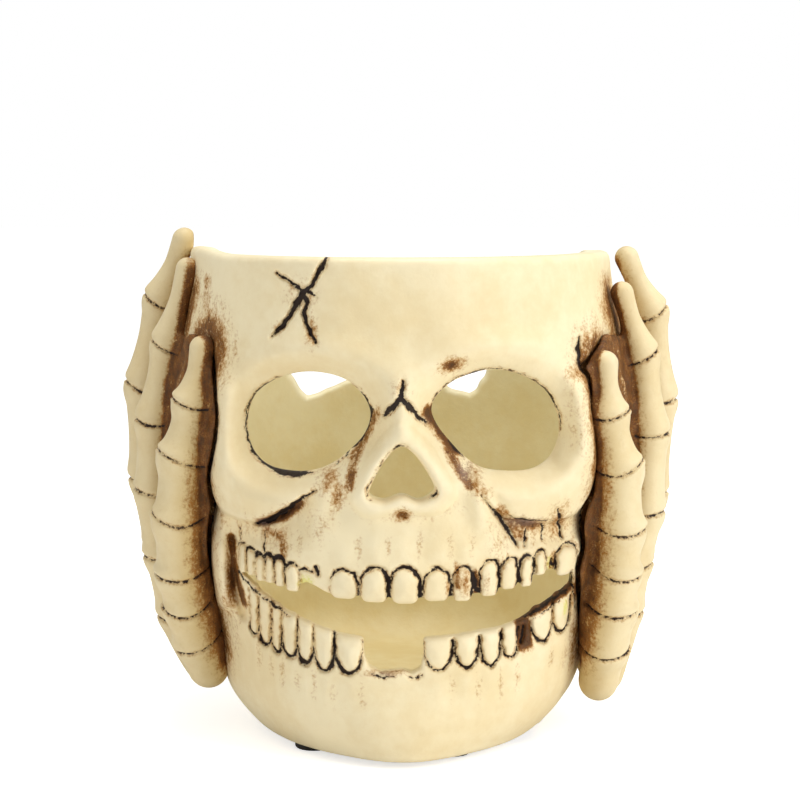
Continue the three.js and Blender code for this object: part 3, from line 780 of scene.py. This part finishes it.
def largest_body(points, quads):
    """Drops every loose island: faces that share corners end up with the same label."""
    label = np.arange(len(points))
    while True:
        lowest = label[quads].min(axis=1)
        fresh = label.copy()
        np.minimum.at(fresh, quads.ravel(), np.repeat(lowest, 4))
        fresh = fresh[fresh]
        if np.array_equal(fresh, label):
            break
        label = fresh
    body = np.bincount(label[quads[:, 0]], minlength=len(points)).argmax()
    kept = label == body
    place = np.cumsum(kept) - 1
    return points[kept], place[quads[kept[quads[:, 0]]]]


def mesh_from(name, field, low, budget):
    """A mesh piece of the field's surface, with about `budget` triangles and its faces pointing out."""
    points, quads = polygons_of(field, low)
    mesh = bpy.data.meshes.new(name)
    mesh.vertices.add(len(points))
    mesh.vertices.foreach_set("co", (points * MM).astype(np.float32).ravel())
    corners = quads[:, ::-1] if signed_volume(points, quads) < 0 else quads
    mesh.loops.add(corners.size)
    mesh.loops.foreach_set("vertex_index", corners.astype(np.int32).ravel())
    mesh.polygons.add(len(corners))
    mesh.polygons.foreach_set("loop_start", np.arange(0, corners.size, 4, dtype=np.int32))
    mesh.update(calc_edges=True)
    mesh.validate()
    piece = bpy.data.objects.new(name, mesh)
    bpy.context.scene.collection.objects.link(piece)
    reduce_to(piece, budget)
    piece.data.shade_smooth()
    return piece


def signed_volume(points, quads):
    a, b, c, d = (points[quads[:, k]] for k in range(4))
    return float(np.einsum("ij,ij->", a, np.cross(b, c)) + np.einsum("ij,ij->", a, np.cross(c, d)))


def reduce_to(piece, budget):
    """Collapses edges until the piece has about `budget` triangles."""
    fewer = piece.modifiers.new("fewer", "DECIMATE")
    fewer.ratio = min(1.0, budget / (2 * len(piece.data.polygons)))
    evaluated = piece.evaluated_get(bpy.context.evaluated_depsgraph_get())
    mesh = bpy.data.meshes.new_from_object(evaluated)
    piece.modifiers.clear()
    piece.data = mesh


def corners_of(piece):
    """Vertex positions in millimetres."""
    co = np.empty(3 * len(piece.data.vertices), dtype=np.float32)
    piece.data.vertices.foreach_get("co", co)
    return co.reshape(-1, 3) / MM


def paint(piece, name, values):
    """Stores one number per vertex, for the material to read."""
    layer = piece.data.attributes.new(name, "FLOAT", "POINT")
    layer.data.foreach_set("value", values.astype(np.float32))


def sample(field, low, spacing, points):
    """Values of a gridded field at points, by trilinear mixing."""
    place = (points - np.array(low)) / spacing
    place = np.clip(place, 0, np.array(field.shape) - 1.001)
    i = place.astype(int)
    f = place - i
    total = 0
    for corner in range(8):
        step = np.array([corner & 1, corner >> 1 & 1, corner >> 2 & 1])
        weight = np.prod(np.where(step, f, 1 - f), axis=1)
        at = i + step
        total = total + weight * field[at[:, 0], at[:, 1], at[:, 2]]
    return total


def blurred(field, reach):
    """Box blur along each axis, twice."""
    for _ in range(2):
        for axis in range(3):
            padded = np.pad(field, [(reach + 1, reach) if k == axis else (0, 0) for k in range(3)],
                            mode="edge")
            total = np.cumsum(padded, axis=axis, dtype=np.float64)
            ahead = np.take(total, range(2 * reach + 1, total.shape[axis]), axis=axis)
            behind = np.take(total, range(0, total.shape[axis] - 2 * reach - 1), axis=axis)
            field = ((ahead - behind) / (2 * reach + 1)).astype(np.float32)
    return field


def hollowness(field, low, points, limit, reach_mm):
    """How deep in a hollow each point lies: above 0 in creases, below 0 on edges."""
    step = 2
    coarse = np.clip(field[::step, ::step, ::step], -limit, limit)
    reach = max(1, round(reach_mm / (VOXEL * step)))
    return -sample(blurred(coarse, reach), low, VOXEL * step, points) / limit


# ---- The skull ----

# Brown wash left on the face: (x, z), spread, tilt, strength.
STAINS = [
    ((-17.5, 72.5), (3, 5), -0.3, 0.6), ((17.6, 73), (3, 5), 0.35, 0.55), ((19.5, 70), (2.4, 4), 0.5, 0.6),
    ((-12.5, 80), (2, 5), -0.5, 0.5), ((-6.5, 88), (1.8, 2.6), -0.5, 0.8), ((7.4, 88.2), (2, 2), 0.5, 1.0),
    ((-15.2, 68), (2, 5), 0, 0.7), ((0.5, 95), (3, 2.6), 0, 0.5), ((12.4, 100.4), (3.4, 1.7), 0.3, 1.25),
    ((-24, 117), (4.5, 4.5), 0.7, 0.45), ((-21.6, 108), (1.8, 4), 0.1, 0.7),
    ((-29.6, 109), (1.8, 3), -0.7, 0.5), ((0.5, 63.9), (2.4, 1.7), 0, 0.95),
    ((31.4, 60), (5.6, 2), -0.2, 1.1), ((40, 60), (3, 5), 0, 0.75), ((-30, 62.6), (6, 1.8), 0.55, 0.9),
    ((-33.5, 57), (1.6, 4), 0, 0.65), ((-29, 55.6), (2, 3.6), 0, 0.65), ((-42.7, 45), (1.5, 9), 0, 1.1),
    ((-43.6, 36), (2.6, 5), 0.2, 0.5), ((45.5, 41), (2.6, 5), 0, 1.0), ((38, 40.4), (6, 1.6), 0.4, 0.8),
    ((31.6, 33.4), (1.4, 4.5), 0, 1.1), ((44, 97), (3, 3), 0, 0.6), ((-20, 60), (4, 6), 0, 0.25),
    ((24, 56), (3, 6), 0.4, 0.4), ((16, 47), (1.6, 4), 0, 0.7), ((-48.6, 111), (1.6, 6), 0, 0.7),
    ((-48, 105.5), (2.2, 3), 0.2, 0.85), ((52.6, 112), (1.6, 5), 0.1, 0.7),
    ((49, 103.6), (2.6, 3), 0.5, 0.75), ((-2.4, 24.6), (6, 1.2), 0, 0.6), ((12, 45.6), (1.2, 3.6), 0, 0.6),
    ((21.4, 46.8), (1.3, 3), 0, 0.5),
]
# Wash that runs in bands: its middle line, half width and strength.
BANDS = [
    ([(7.4, 88.6), (10.4, 84), (13.6, 79.4)], 2.5, 1.15), ([(12, 79), (14.6, 74), (17.2, 70.4)], 1.5, 0.95),
    ([(-6, 88.4), (-8.6, 83), (-11, 78), (-12.6, 70.4)], 1.6, 0.85),
    ([(24.6, 64.6), (29.6, 57)], 1.8, 0.75), ([(38.6, 51.6), (38.2, 48.6)], 1.2, 0.9),
    ([(29.8, 35.4), (30.6, 28.6)], 1.6, 1.1), ([(18.4, 49), (19, 44.4)], 1.3, 0.95),
    ([(-49, 120), (-48.4, 108)], 1.6, 0.55), ([(14, 50.6), (14.2, 46)], 1.1, 0.8),
    ([(31, 36.4), (36, 38.6), (43, 41.8)], 1.5, 1.1), ([(31.4, 35.2), (32.2, 28.8)], 1.7, 1.2),
    ([(-34.6, 60.2), (-29, 61.8), (-24.8, 65.6)], 1.6, 1.1),
    ([(-43, 55), (-41.8, 47), (-39.6, 38)], 1.4, 1.0),
    ([(-33, 58), (-29.4, 56.6), (-28.8, 52.6)], 1.3, 0.75),
]
FLASHES = [((-23.4, 46), (2.3, 2.5)), ((37.8, 49.2), (1.3, 3.2)), ((42, 37), (0.9, 3))]
# Grey patches of painted shade, under the cheek edges, below the left eye, beside the nose and in the tooth
# sockets: (x, z) and spread.
GREYS = [
    ((-29, 72.2), (7, 1.3)), ((16, 74.8), (1.6, 3.4)), ((31.4, 60.9), (4.4, 1.4)), ((-34.2, 60), (2, 1.4)),
    ((4.4, 86.4), (2, 1.1)), ((-4, 23.9), (3, 0.8)),
]


def face_stain(x, z):
    wash = 0
    for at, spread, tilt, strength in STAINS:
        wash = np.maximum(wash, strength * bump(x, z, at, spread, tilt))
    for line, half, strength in BANDS:
        wash = np.maximum(wash, strength * smoothstep(half * 1.3, half * 0.3, line_distance(x, z, line)))
    near = crack_distance(x, z)
    wash = np.maximum(wash, 0.45 * smoothstep(0.75, 0.0, near))
    for side in (-1, 1):
        out = outside_face(x, z, side)
        beside = 0.95 * smoothstep(-0.5, 1.2, out) * smoothstep(108, 101, z) * smoothstep(14, 26, z)
        wash = np.maximum(wash, beside)
    roots = 0
    for left, right, _, gum, _, _, upper in TEETH:
        out = 1 if upper else -1
        roots = np.maximum(roots, 0.34 * bump(x, z, (right, gum + out * 5), (0.9, 4.2)))
    return np.maximum(wash, roots), near


def make_skull():
    low, high = (-68, -70, 0), (68, 68, 131)
    x, y, z = grid_axes(low, high)
    field = skull_field(x, y, z)
    piece = mesh_from("skull", field, low, 196000)
    at = corners_of(piece)
    px, py, pz = at.T
    r, skin = plan_radius(px, py, pz)
    depth = skin + face_weight(py, r) * face_relief(px, pz) - r
    front = smoothstep(0.1, 0.3, -py / r) * smoothstep(5.0, 3.4, depth)
    wash, near = face_stain(px, pz)
    inside = smoothstep(2.5, 5.5, depth) * smoothstep(FLOOR - 3, FLOOR - 1, pz)
    behind_face = smoothstep(1.6, 0.6, r - skin + WALL) * smoothstep(54, 60, pz)
    front = front * (1 - behind_face)
    inside = np.maximum(inside, behind_face)
    hollow = hollowness(field, low, at, 2.0, 1.6)
    hands = np.where(px < 0, digits_distance(at, LEFT_DIGITS), digits_distance(at, RIGHT_DIGITS))
    beside = (0.25 * smoothstep(11, 5, hands) + 0.65 * smoothstep(5.5, 0, hands)) * smoothstep(12, 26, pz)
    beside = beside * smoothstep(126, 116, pz) * (1 - inside)
    dark = np.maximum(wash * front, np.clip(hollow, 0, 1) * 0.9 * (1 - inside))
    paint(piece, "wash", np.maximum(dark, beside))
    paint(piece, "line", np.where(front > 0.5, np.clip(0.5 - 0.5 * near, 0, 1), 0))
    paint(piece, "inside", inside)
    flash = sum(bump(px, pz, spot, spread) for spot, spread in FLASHES)
    paint(piece, "flash", np.clip(flash, 0, 1) * smoothstep(-20, -30, py))
    # Painted shade: grey patches on the face, shown where the thin wash lies.
    grey = sum(bump(px, pz, spot, spread) for spot, spread in GREYS)
    paint(piece, "grey", np.clip(grey, 0, 1) * front)
    paint(piece, "edge", np.clip(-hollow, 0, 1))
    # Painted shade: the lower inside of the bowl is darkened, most at the floor and none above 68 mm.
    paint(piece, "shade", inside * np.interp(pz, [20, 57, 68], [0.6, 0.22, 0]))
    return piece


def digits_distance(at, digits):
    """Distance from each point to the nearest finger."""
    nearest = np.full(len(at), 1e3)
    for radius, joints in digits:
        for top, low in zip(joints[:-1], joints[1:]):
            nearest = np.minimum(nearest, along_bone(*at.T, top, low)[1] - radius)
    return nearest


def face_side(at, digits, side):
    """How far round toward the face each point lies on its own finger: 0 on top, 1 on the flank."""
    nearest = np.full(len(at), 1e3)
    turned_in = np.zeros(len(at))
    for radius, joints in digits:
        for top, low in zip(joints[:-1], joints[1:]):
            t, off, _ = along_bone(*at.T, top, low)
            forward = -side * (at[:, 0] - top[0] - t * (low[0] - top[0])) / radius
            closer = off - radius < nearest
            nearest = np.where(closer, off - radius, nearest)
            turned_in = np.where(closer, forward, turned_in)
    return turned_in


def make_hand(name, digits, side):
    xs = sorted((side * 40, side * 78))
    low, high = (xs[0], -44, 6), (xs[1], 54, 134)
    x, y, z = grid_axes(low, high)
    field, line, head = hand_field(x, y, z, digits, side)
    piece = mesh_from(name, field, low, 110000)
    at = corners_of(piece)
    joint = sample(line, low, VOXEL, at)
    height = sample(head, low, VOXEL, at)
    hollow = hollowness(field, low, at, 2.0, 2.0)
    recess = hollowness(field, low, at, 3.0, 4.0)
    inward = face_side(at, digits, side)
    wash = 0.85 * smoothstep(3.4, 1.9, height) + 0.8 * smoothstep(-0.1, 1.0, inward) * smoothstep(11, 5,
                                                                                                  height)
    wash = wash + 1.2 * np.clip(recess, 0, 1) + 0.6 * np.clip(hollow, 0, 1)
    wash = wash * smoothstep(12, 26, at[:, 2]) * smoothstep(128, 121, at[:, 2])
    wash = np.maximum(wash, 0.4 * smoothstep(1.2, 0.2, joint))
    paint(piece, "wash", np.clip(wash, 0, 0.98) + 0.07)
    paint(piece, "line", np.clip(0.5 - 0.5 * (joint - 0.36), 0, 1))
    # Painted shade on the hands: the left hand, on the side away from the key light, is darkened more than
    # the right, and each finger's flank toward the head most.
    paint(piece, "shade", (0.45 if side < 0 else 0.3) + 0.55 * smoothstep(-0.5, 0.7, inward))
    for name_of_zero in ("inside", "flash", "grey"):
        paint(piece, name_of_zero, 0 * joint)
    paint(piece, "edge", np.clip(-hollow, 0, 1))
    return piece


# ---- Node groups and materials ----

def srgb(red, green, blue):
    """A linear colour from the 0 to 255 values that paint makers give."""
    def linear(value):
        v = value / 255
        return v / 12.92 if v <= 0.04045 else ((v + 0.055) / 1.055) ** 2.4
    return (linear(red), linear(green), linear(blue), 1)


class Sheet:
    """A node tree being filled in."""

    def __init__(self, tree):
        self.tree = tree

    def node(self, kind, values=None, **settings):
        node = self.tree.nodes.new(kind)
        for name, value in settings.items():
            setattr(node, name, value)
        for name, value in (values or {}).items():
            self.feed(node.inputs[name], value)
        return node

    def feed(self, socket, value):
        """Links a socket to another, or sets it to a value."""
        if isinstance(value, bpy.types.NodeSocket):
            self.tree.links.new(value, socket)
        else:
            socket.default_value = value

    def math(self, operation, a, b):
        return self.node("ShaderNodeMath", {0: a, 1: b}, operation=operation).outputs[0]

    def plus(self, a, b):
        return self.math("ADD", a, b)

    def minus(self, a, b):
        return self.math("SUBTRACT", a, b)

    def times(self, a, b):
        return self.math("MULTIPLY", a, b)

    def ramp(self, value, low, high, to_low=0.0, to_high=1.0):
        values = {"Value": value, "From Min": low, "From Max": high, "To Min": to_low, "To Max": to_high}
        return self.node("ShaderNodeMapRange", values, interpolation_type="SMOOTHSTEP").outputs["Result"]

    def mix(self, share, a, b, blend="MIX"):
        node = self.node("ShaderNodeMix", data_type="RGBA", blend_type=blend)
        for socket, value in ((node.inputs[0], share), (node.inputs[6], a), (node.inputs[7], b)):
            self.feed(socket, value)
        return node.outputs[2]

    def noise(self, place, scale, detail, roughness, stretch=(1, 1, 1)):
        """Noise of a given scale per metre, around 0.5."""
        mapped = self.node("ShaderNodeMapping", {"Vector": place, "Scale": stretch}).outputs[0]
        values = {"Vector": mapped, "Scale": scale, "Detail": detail, "Roughness": roughness}
        return self.node("ShaderNodeTexNoise", values).outputs[0]

    def reading(self, name):
        return self.node("ShaderNodeAttribute", attribute_name=name).outputs["Fac"]


def group(name, inputs, outputs):
    """A new shader node group, its sheet, its input sockets by name and its output node."""
    tree = bpy.data.node_groups.new(name, "ShaderNodeTree")
    for label, kind, default in inputs:
        socket = tree.interface.new_socket(label, in_out="INPUT", socket_type=kind)
        if default is not None:
            socket.default_value = default
    for label, kind in outputs:
        tree.interface.new_socket(label, in_out="OUTPUT", socket_type=kind)
    sheet = Sheet(tree)
    entry = sheet.node("NodeGroupInput")
    exit_node = sheet.node("NodeGroupOutput")
    return tree, sheet, {s.name: s for s in entry.outputs}, exit_node


def close(sheet, exit_node, **results):
    for name, value in results.items():
        sheet.tree.links.new(value, exit_node.inputs[name])


def brown_wash_group():
    """Dark wash wiped off the high places: streaky and mottled where thin, solid where thick."""
    tree, sheet, given, out = group(
        "brown wash",
        [("Place", "NodeSocketVector", None), ("Amount", "NodeSocketFloat", 0.0),
         ("Line", "NodeSocketFloat", 0.0), ("Speckle", "NodeSocketFloat", 0.5)],
        [("Thin", "NodeSocketFloat"), ("Thick", "NodeSocketFloat"), ("Ink", "NodeSocketFloat"),
         ("Mottle", "NodeSocketFloat")])
    blotch = sheet.noise(given["Place"], 300, 5, 0.62)
    streak = sheet.noise(given["Place"], 620, 4, 0.6, stretch=(1, 1, 0.3))
    speck = sheet.noise(given["Place"], 1250, 4, 0.66)
    broken = sheet.plus(sheet.times(blotch, 0.55), sheet.times(streak, 0.45))
    broken = sheet.plus(broken, sheet.times(sheet.minus(speck, 0.5), given["Speckle"]))
    offset = sheet.minus(broken, 0.5)
    wet = sheet.plus(given["Amount"], sheet.times(offset, 1.7))
    edge = sheet.plus(given["Line"], sheet.times(offset, 0.55))
    shown = sheet.ramp(given["Amount"], 0.02, 0.2)
    crust = sheet.ramp(sheet.plus(given["Amount"], sheet.times(offset, 2.6)), 1.0, 1.3)
    dark = sheet.math("MAXIMUM", sheet.ramp(edge, 0.48, 0.6), sheet.times(crust, 0.75))
    close(sheet, out, Thin=sheet.times(sheet.ramp(wet, 0.12, 0.8), shown),
          Thick=sheet.times(sheet.ramp(wet, 0.58, 0.9), shown),
          Ink=sheet.times(dark, sheet.ramp(given["Amount"], 0.05, 0.3)),
          Mottle=sheet.ramp(sheet.plus(speck, sheet.times(offset, 0.8)), 0.4, 0.68))
    return tree


def tone_group():
    """Slow changes of tone in sprayed and wiped paint."""
    tree, sheet, given, out = group(
        "paint tone",
        [("Place", "NodeSocketVector", None), ("Light", "NodeSocketColor", (1, 1, 1, 1)),
         ("Deep", "NodeSocketColor", (0.5, 0.5, 0.5, 1)), ("Size", "NodeSocketFloat", 35.0)],
        [("Color", "NodeSocketColor"), ("Patch", "NodeSocketFloat")])
    wide = sheet.noise(given["Place"], given["Size"], 5, 0.55)
    small = sheet.noise(given["Place"], 330, 3, 0.6)
    patch = sheet.plus(sheet.times(wide, 0.72), sheet.times(small, 0.28))
    patch = sheet.ramp(patch, 0.36, 0.66)
    close(sheet, out, Color=sheet.mix(patch, given["Light"], given["Deep"]), Patch=patch)
    return tree


def grain_group():
    """Fine surface height: brush drag, pinholes and the tooth of the casting."""
    tree, sheet, given, out = group(
        "casting grain",
        [("Place", "NodeSocketVector", None), ("Coarse", "NodeSocketFloat", 1.0),
         ("Fine", "NodeSocketFloat", 1.0)],
        [("Height", "NodeSocketFloat")])
    coarse = sheet.noise(given["Place"], 190, 4, 0.5)
    fine = sheet.noise(given["Place"], 900, 4, 0.6)
    cells = sheet.node("ShaderNodeTexVoronoi", {"Vector": given["Place"], "Scale": 520.0}).outputs["Distance"]
    pinhole = sheet.minus(1.0, sheet.ramp(cells, 0.03, 0.12))
    height = sheet.plus(sheet.times(coarse, given["Coarse"]), sheet.times(fine, given["Fine"]))
    close(sheet, out, Height=sheet.minus(height, sheet.times(pinhole, 0.12)))
    return tree


BROWN_WASH, PAINT_TONE, CASTING_GRAIN = brown_wash_group(), tone_group(), grain_group()


def placed(sheet, tree, **values):
    """Puts a node group into a material and returns its outputs."""
    node = sheet.tree.nodes.new("ShaderNodeGroup")
    node.node_tree = tree
    for name, value in values.items():
        sheet.feed(node.inputs[name], value)
    return node.outputs


def new_material(name):
    material = bpy.data.materials.new(name)
    material.use_nodes = True
    tree = material.node_tree
    tree.nodes.clear()
    sheet = Sheet(tree)
    shader = sheet.node("ShaderNodeBsdfPrincipled")
    output = sheet.node("ShaderNodeOutputMaterial")
    tree.links.new(shader.outputs[0], output.inputs[0])
    place = sheet.node("ShaderNodeTexCoord").outputs["Object"]
    return material, sheet, shader, place


def finish_surface(sheet, shader, color, roughness, height=None, distance=0.0001, strength=1.0):
    """Gives a shader its colour, its roughness and a fine surface height."""
    sheet.feed(shader.inputs["Base Color"], color)
    sheet.feed(shader.inputs["Roughness"], roughness)
    if height is not None:
        values = {"Height": height, "Strength": strength, "Distance": distance}
        sheet.feed(shader.inputs["Normal"], sheet.node("ShaderNodeBump", values).outputs[0])


CREAM_LIGHT, CREAM_DEEP = srgb(246, 231, 191), srgb(237, 217, 170)
INSIDE_LIGHT, INSIDE_DEEP = srgb(248, 240, 204), srgb(241, 228, 182)
BROWN_THIN, BROWN_THICK, BROWN_AMBER = srgb(192, 146, 78), srgb(98, 56, 16), srgb(158, 106, 46)
# The second colour on the next line is multiplied in as painted shade.
INK, PAINTED_SHADE_TINT = srgb(36, 21, 12), srgb(216, 203, 172)
# The middle colour on the next line is the grey used for painted shade.
RESIN_YELLOW, SHADE_GREY, WORN_PALE = srgb(230, 222, 140), srgb(150, 130, 120), srgb(252, 243, 216)


def bone_material():
    """Cream paint over resin, a brown wash in the hollows, near-black in the cut lines, and painted shade: on
    the hands, deep in the bowl and in grey patches on the face.
    """
    material, sheet, shader, place = new_material("bone paint")
    outside = placed(sheet, PAINT_TONE, Place=place, Light=CREAM_LIGHT, Deep=CREAM_DEEP, Size=38.0)
    within = placed(sheet, PAINT_TONE, Place=place, Light=INSIDE_LIGHT, Deep=INSIDE_DEEP, Size=60.0)
    wash = placed(sheet, BROWN_WASH, Place=place, Amount=sheet.reading("wash"), Line=sheet.reading("line"),
                  Speckle=0.9)
    color = sheet.mix(sheet.reading("inside"), outside["Color"], within["Color"])
    worn = sheet.times(sheet.reading("edge"), 0.5)
    color = sheet.mix(worn, color, WORN_PALE)
    uneven = sheet.times(sheet.minus(wash["Mottle"], 0.5), 0.3)
    yellow = sheet.ramp(sheet.plus(sheet.reading("flash"), uneven), 0.3, 0.85)
    color = sheet.mix(yellow, color, RESIN_YELLOW)
    color = sheet.mix(sheet.times(wash["Thin"], 0.8), color, BROWN_THIN, "MULTIPLY")
    # Painted shade, multiplied in: on the hands, and on the lower inside of the skull.
    color = sheet.mix(sheet.reading("shade"), color, PAINTED_SHADE_TINT, "MULTIPLY")
    brown = sheet.mix(wash["Mottle"], BROWN_THICK, BROWN_AMBER)
    color = sheet.mix(wash["Thick"], color, brown)
    # Painted shade: grey laid over the thin wash in the patches listed in GREYS.
    grey = sheet.times(sheet.reading("grey"), wash["Thin"])
    color = sheet.mix(sheet.times(grey, 0.7), color, SHADE_GREY)
    color = sheet.mix(wash["Ink"], color, INK)
    rough = sheet.ramp(outside["Patch"], 0, 1, 0.46, 0.6)
    rough = sheet.plus(rough, sheet.times(wash["Thick"], 0.15))
    height = placed(sheet, CASTING_GRAIN, Place=place, Coarse=1.0, Fine=0.35)["Height"]
    height = sheet.minus(height, sheet.times(wash["Thin"], 0.25))
    finish_surface(sheet, shader, color, rough, height, 0.00035, 0.5)
    shader.inputs["Specular IOR Level"].default_value = 0.32
    return material


def plain_material(name, tones, size, rough, grain, depth, strength):
    """Two tones in slow patches, a range of roughness, and a (coarse, fine) grain of a given depth."""
    material, sheet, shader, place = new_material(name)
    tone = placed(sheet, PAINT_TONE, Place=place, Light=tones[0], Deep=tones[1], Size=size)
    roughness = sheet.ramp(tone["Patch"], 0, 1, *rough)
    height = placed(sheet, CASTING_GRAIN, Place=place, Coarse=grain[0], Fine=grain[1])["Height"]
    finish_surface(sheet, shader, tone["Color"], roughness, height, depth, strength)
    return material, shader


def plastic_material():
    """Black moulded plastic with a faint spark texture and pale scuffs."""
    tones = (srgb(44, 46, 49), srgb(27, 28, 30))
    return plain_material("moulded plastic", tones, 220.0, (0.34, 0.5), (0.3, 1.0), 0.0001, 0.35)[0]


def rubber_material():
    """Matt black rubber, dusty in patches."""
    tones = (srgb(58, 54, 50), srgb(33, 30, 28))
    return plain_material("matt rubber", tones, 160.0, (0.75, 0.92), (0.4, 1.2), 0.00012, 0.5)[0]


def silicone_material():
    """Milky silicone tube: lets some light through, a little cloudy."""
    tones = (srgb(226, 230, 224), srgb(206, 212, 204))
    material, shader = plain_material("milky silicone", tones, 300.0, (0.22, 0.36), (0.6, 0.2), 0.00008, 0.3)
    shader.inputs["Transmission Weight"].default_value = 0.35
    shader.inputs["IOR"].default_value = 1.41
    return material


def stone_material():
    """Sintered grit: blue-grey grains with pale and dark ones among them."""
    material, sheet, shader, place = new_material("sintered grit")
    cells = sheet.node("ShaderNodeTexVoronoi", {"Vector": place, "Scale": 1500.0})
    shade = sheet.ramp(cells.outputs["Color"], 0.1, 0.9)
    tone = placed(sheet, PAINT_TONE, Place=place, Light=srgb(150, 156, 160), Deep=srgb(112, 118, 122),
                  Size=240.0)
    color = sheet.mix(sheet.times(shade, 0.55), tone["Color"], srgb(64, 68, 72))
    gaps = sheet.ramp(cells.outputs["Distance"], 0.0, 0.55)
    rough = sheet.ramp(shade, 0, 1, 0.8, 0.98)
    finish_surface(sheet, shader, color, rough, sheet.minus(1.0, gaps), 0.0003, 0.8)
    return material


def floor_material():
    """Near-white studio paper."""
    material, sheet, shader, place = new_material("studio paper")
    tone = placed(sheet, PAINT_TONE, Place=place, Light=(0.93, 0.93, 0.93, 1), Deep=(0.9, 0.9, 0.9, 1),
                  Size=4.0)
    rough = sheet.ramp(tone["Patch"], 0, 1, 0.85, 0.95)
    finish_surface(sheet, shader, tone["Color"], rough)
    shader.inputs["Emission Color"].default_value = (1, 1, 1, 1)
    seen = sheet.node("ShaderNodeLightPath").outputs["Is Camera Ray"]
    sheet.tree.links.new(sheet.times(seen, 0.62), shader.inputs["Emission Strength"])
    return material


# ---- Small pieces ----

def object_from(name, vertices, faces):
    mesh = bpy.data.meshes.new(name)
    mesh.from_pydata([tuple(np.array(v) * MM) for v in vertices], [], faces)
    mesh.update()
    piece = bpy.data.objects.new(name, mesh)
    bpy.context.scene.collection.objects.link(piece)
    return piece


def attach(piece, material, body, slot, *nodes):
    """Gives a piece its finish and its body, and hides the CAD nodes it stands for. The slot is not used."""
    piece.data.materials.clear()
    piece.data.materials.append(material)
    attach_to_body(piece, body)
    if nodes:
        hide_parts(*nodes)


def carry_over(node, material):
    """A CAD node whose shape is right keeps it, and gets a better finish."""
    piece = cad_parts[node]
    for slot in piece.material_slots:
        slot.material = material


LENS, SENSOR = 100, 36
CAMERA_PLACE, CAMERA_DIP = (0, -0.5946, 0.1454), 5.68  # metres, and degrees below the horizon
LIGHT_AIM = (0, 0, 0.06)
# Name, place, size, power and tint of each soft light.
LIGHTS = [
    ("key", (0.85, -0.5, 0.45), 0.6, 5.2, (1, 0.988, 0.962)),
    ("top", (0.05, 0.0, 1.0), 0.5, 5.0, (1, 1, 1)),
    ("fill", (-0.8, -0.7, 0.35), 0.7, 1.15, (1, 1, 1)),
]


def camera_and_light():
    camera = bpy.data.cameras.new("camera")
    camera.lens, camera.sensor_width = LENS, SENSOR
    eye = bpy.data.objects.new("camera", camera)
    eye.location = CAMERA_PLACE
    eye.rotation_euler = (math.radians(90 - CAMERA_DIP), 0, 0)
    camera.clip_start, camera.clip_end = 0.01, 50
    bpy.context.scene.collection.objects.link(eye)
    bpy.context.scene.camera = eye
    for name, place, size, power, tint in LIGHTS:
        lamp = bpy.data.lights.new(name, "AREA")
        lamp.shape, lamp.size, lamp.energy, lamp.color = "DISK", size, power, tint
        holder = bpy.data.objects.new(name, lamp)
        holder.location = place
        aim = np.subtract(LIGHT_AIM, place)
        holder.rotation_euler = Vector(aim).to_track_quat("-Z", "Y").to_euler()
        bpy.context.scene.collection.objects.link(holder)
    world = bpy.data.worlds.new("studio")
    world.use_nodes = True
    sheet = Sheet(world.node_tree)
    background = world.node_tree.nodes["Background"]
    background.inputs[0].default_value = (1, 1, 1, 1)
    seen = sheet.node("ShaderNodeLightPath").outputs["Is Camera Ray"]
    strength = sheet.ramp(seen, 0, 1, 0.5, 1.0)
    sheet.tree.links.new(strength, background.inputs[1])
    bpy.context.scene.world = world
    bpy.context.scene.view_settings.view_transform = "Standard"


def studio_floor():
    """A sheet of paper that the ornament stands on."""
    half = 6000
    paper = object_from("floor", [(-half, -half, 0), (half, -half, 0), (half, half, 0), (-half, half, 0)],
                        [(0, 1, 2, 3)])
    paper.data.materials.append(floor_material())


# ---- Putting it together ----

camera_and_light()
studio_floor()

bone = bone_material()
attach(make_skull(), bone, "ornament", "bone_resin", "skull_shell")
attach(make_hand("left_bone_hand", LEFT_DIGITS, -1), bone, "ornament", "bone_resin", "left_hand")
attach(make_hand("right_bone_hand", RIGHT_DIGITS, 1), bone, "ornament", "bone_resin", "right_hand")

plastic, rubber = plastic_material(), rubber_material()
for node in ("lock_nut", "air_inlet_elbow", "stone_nipple"):
    carry_over(node, plastic)
carry_over("sealing_washer", rubber)
carry_over("silicone_sleeve", silicone_material())
carry_over("air_stone", stone_material())
for where in ("front_left", "front_right", "rear_left", "rear_right"):
    carry_over("foot_pad_" + where, rubber)
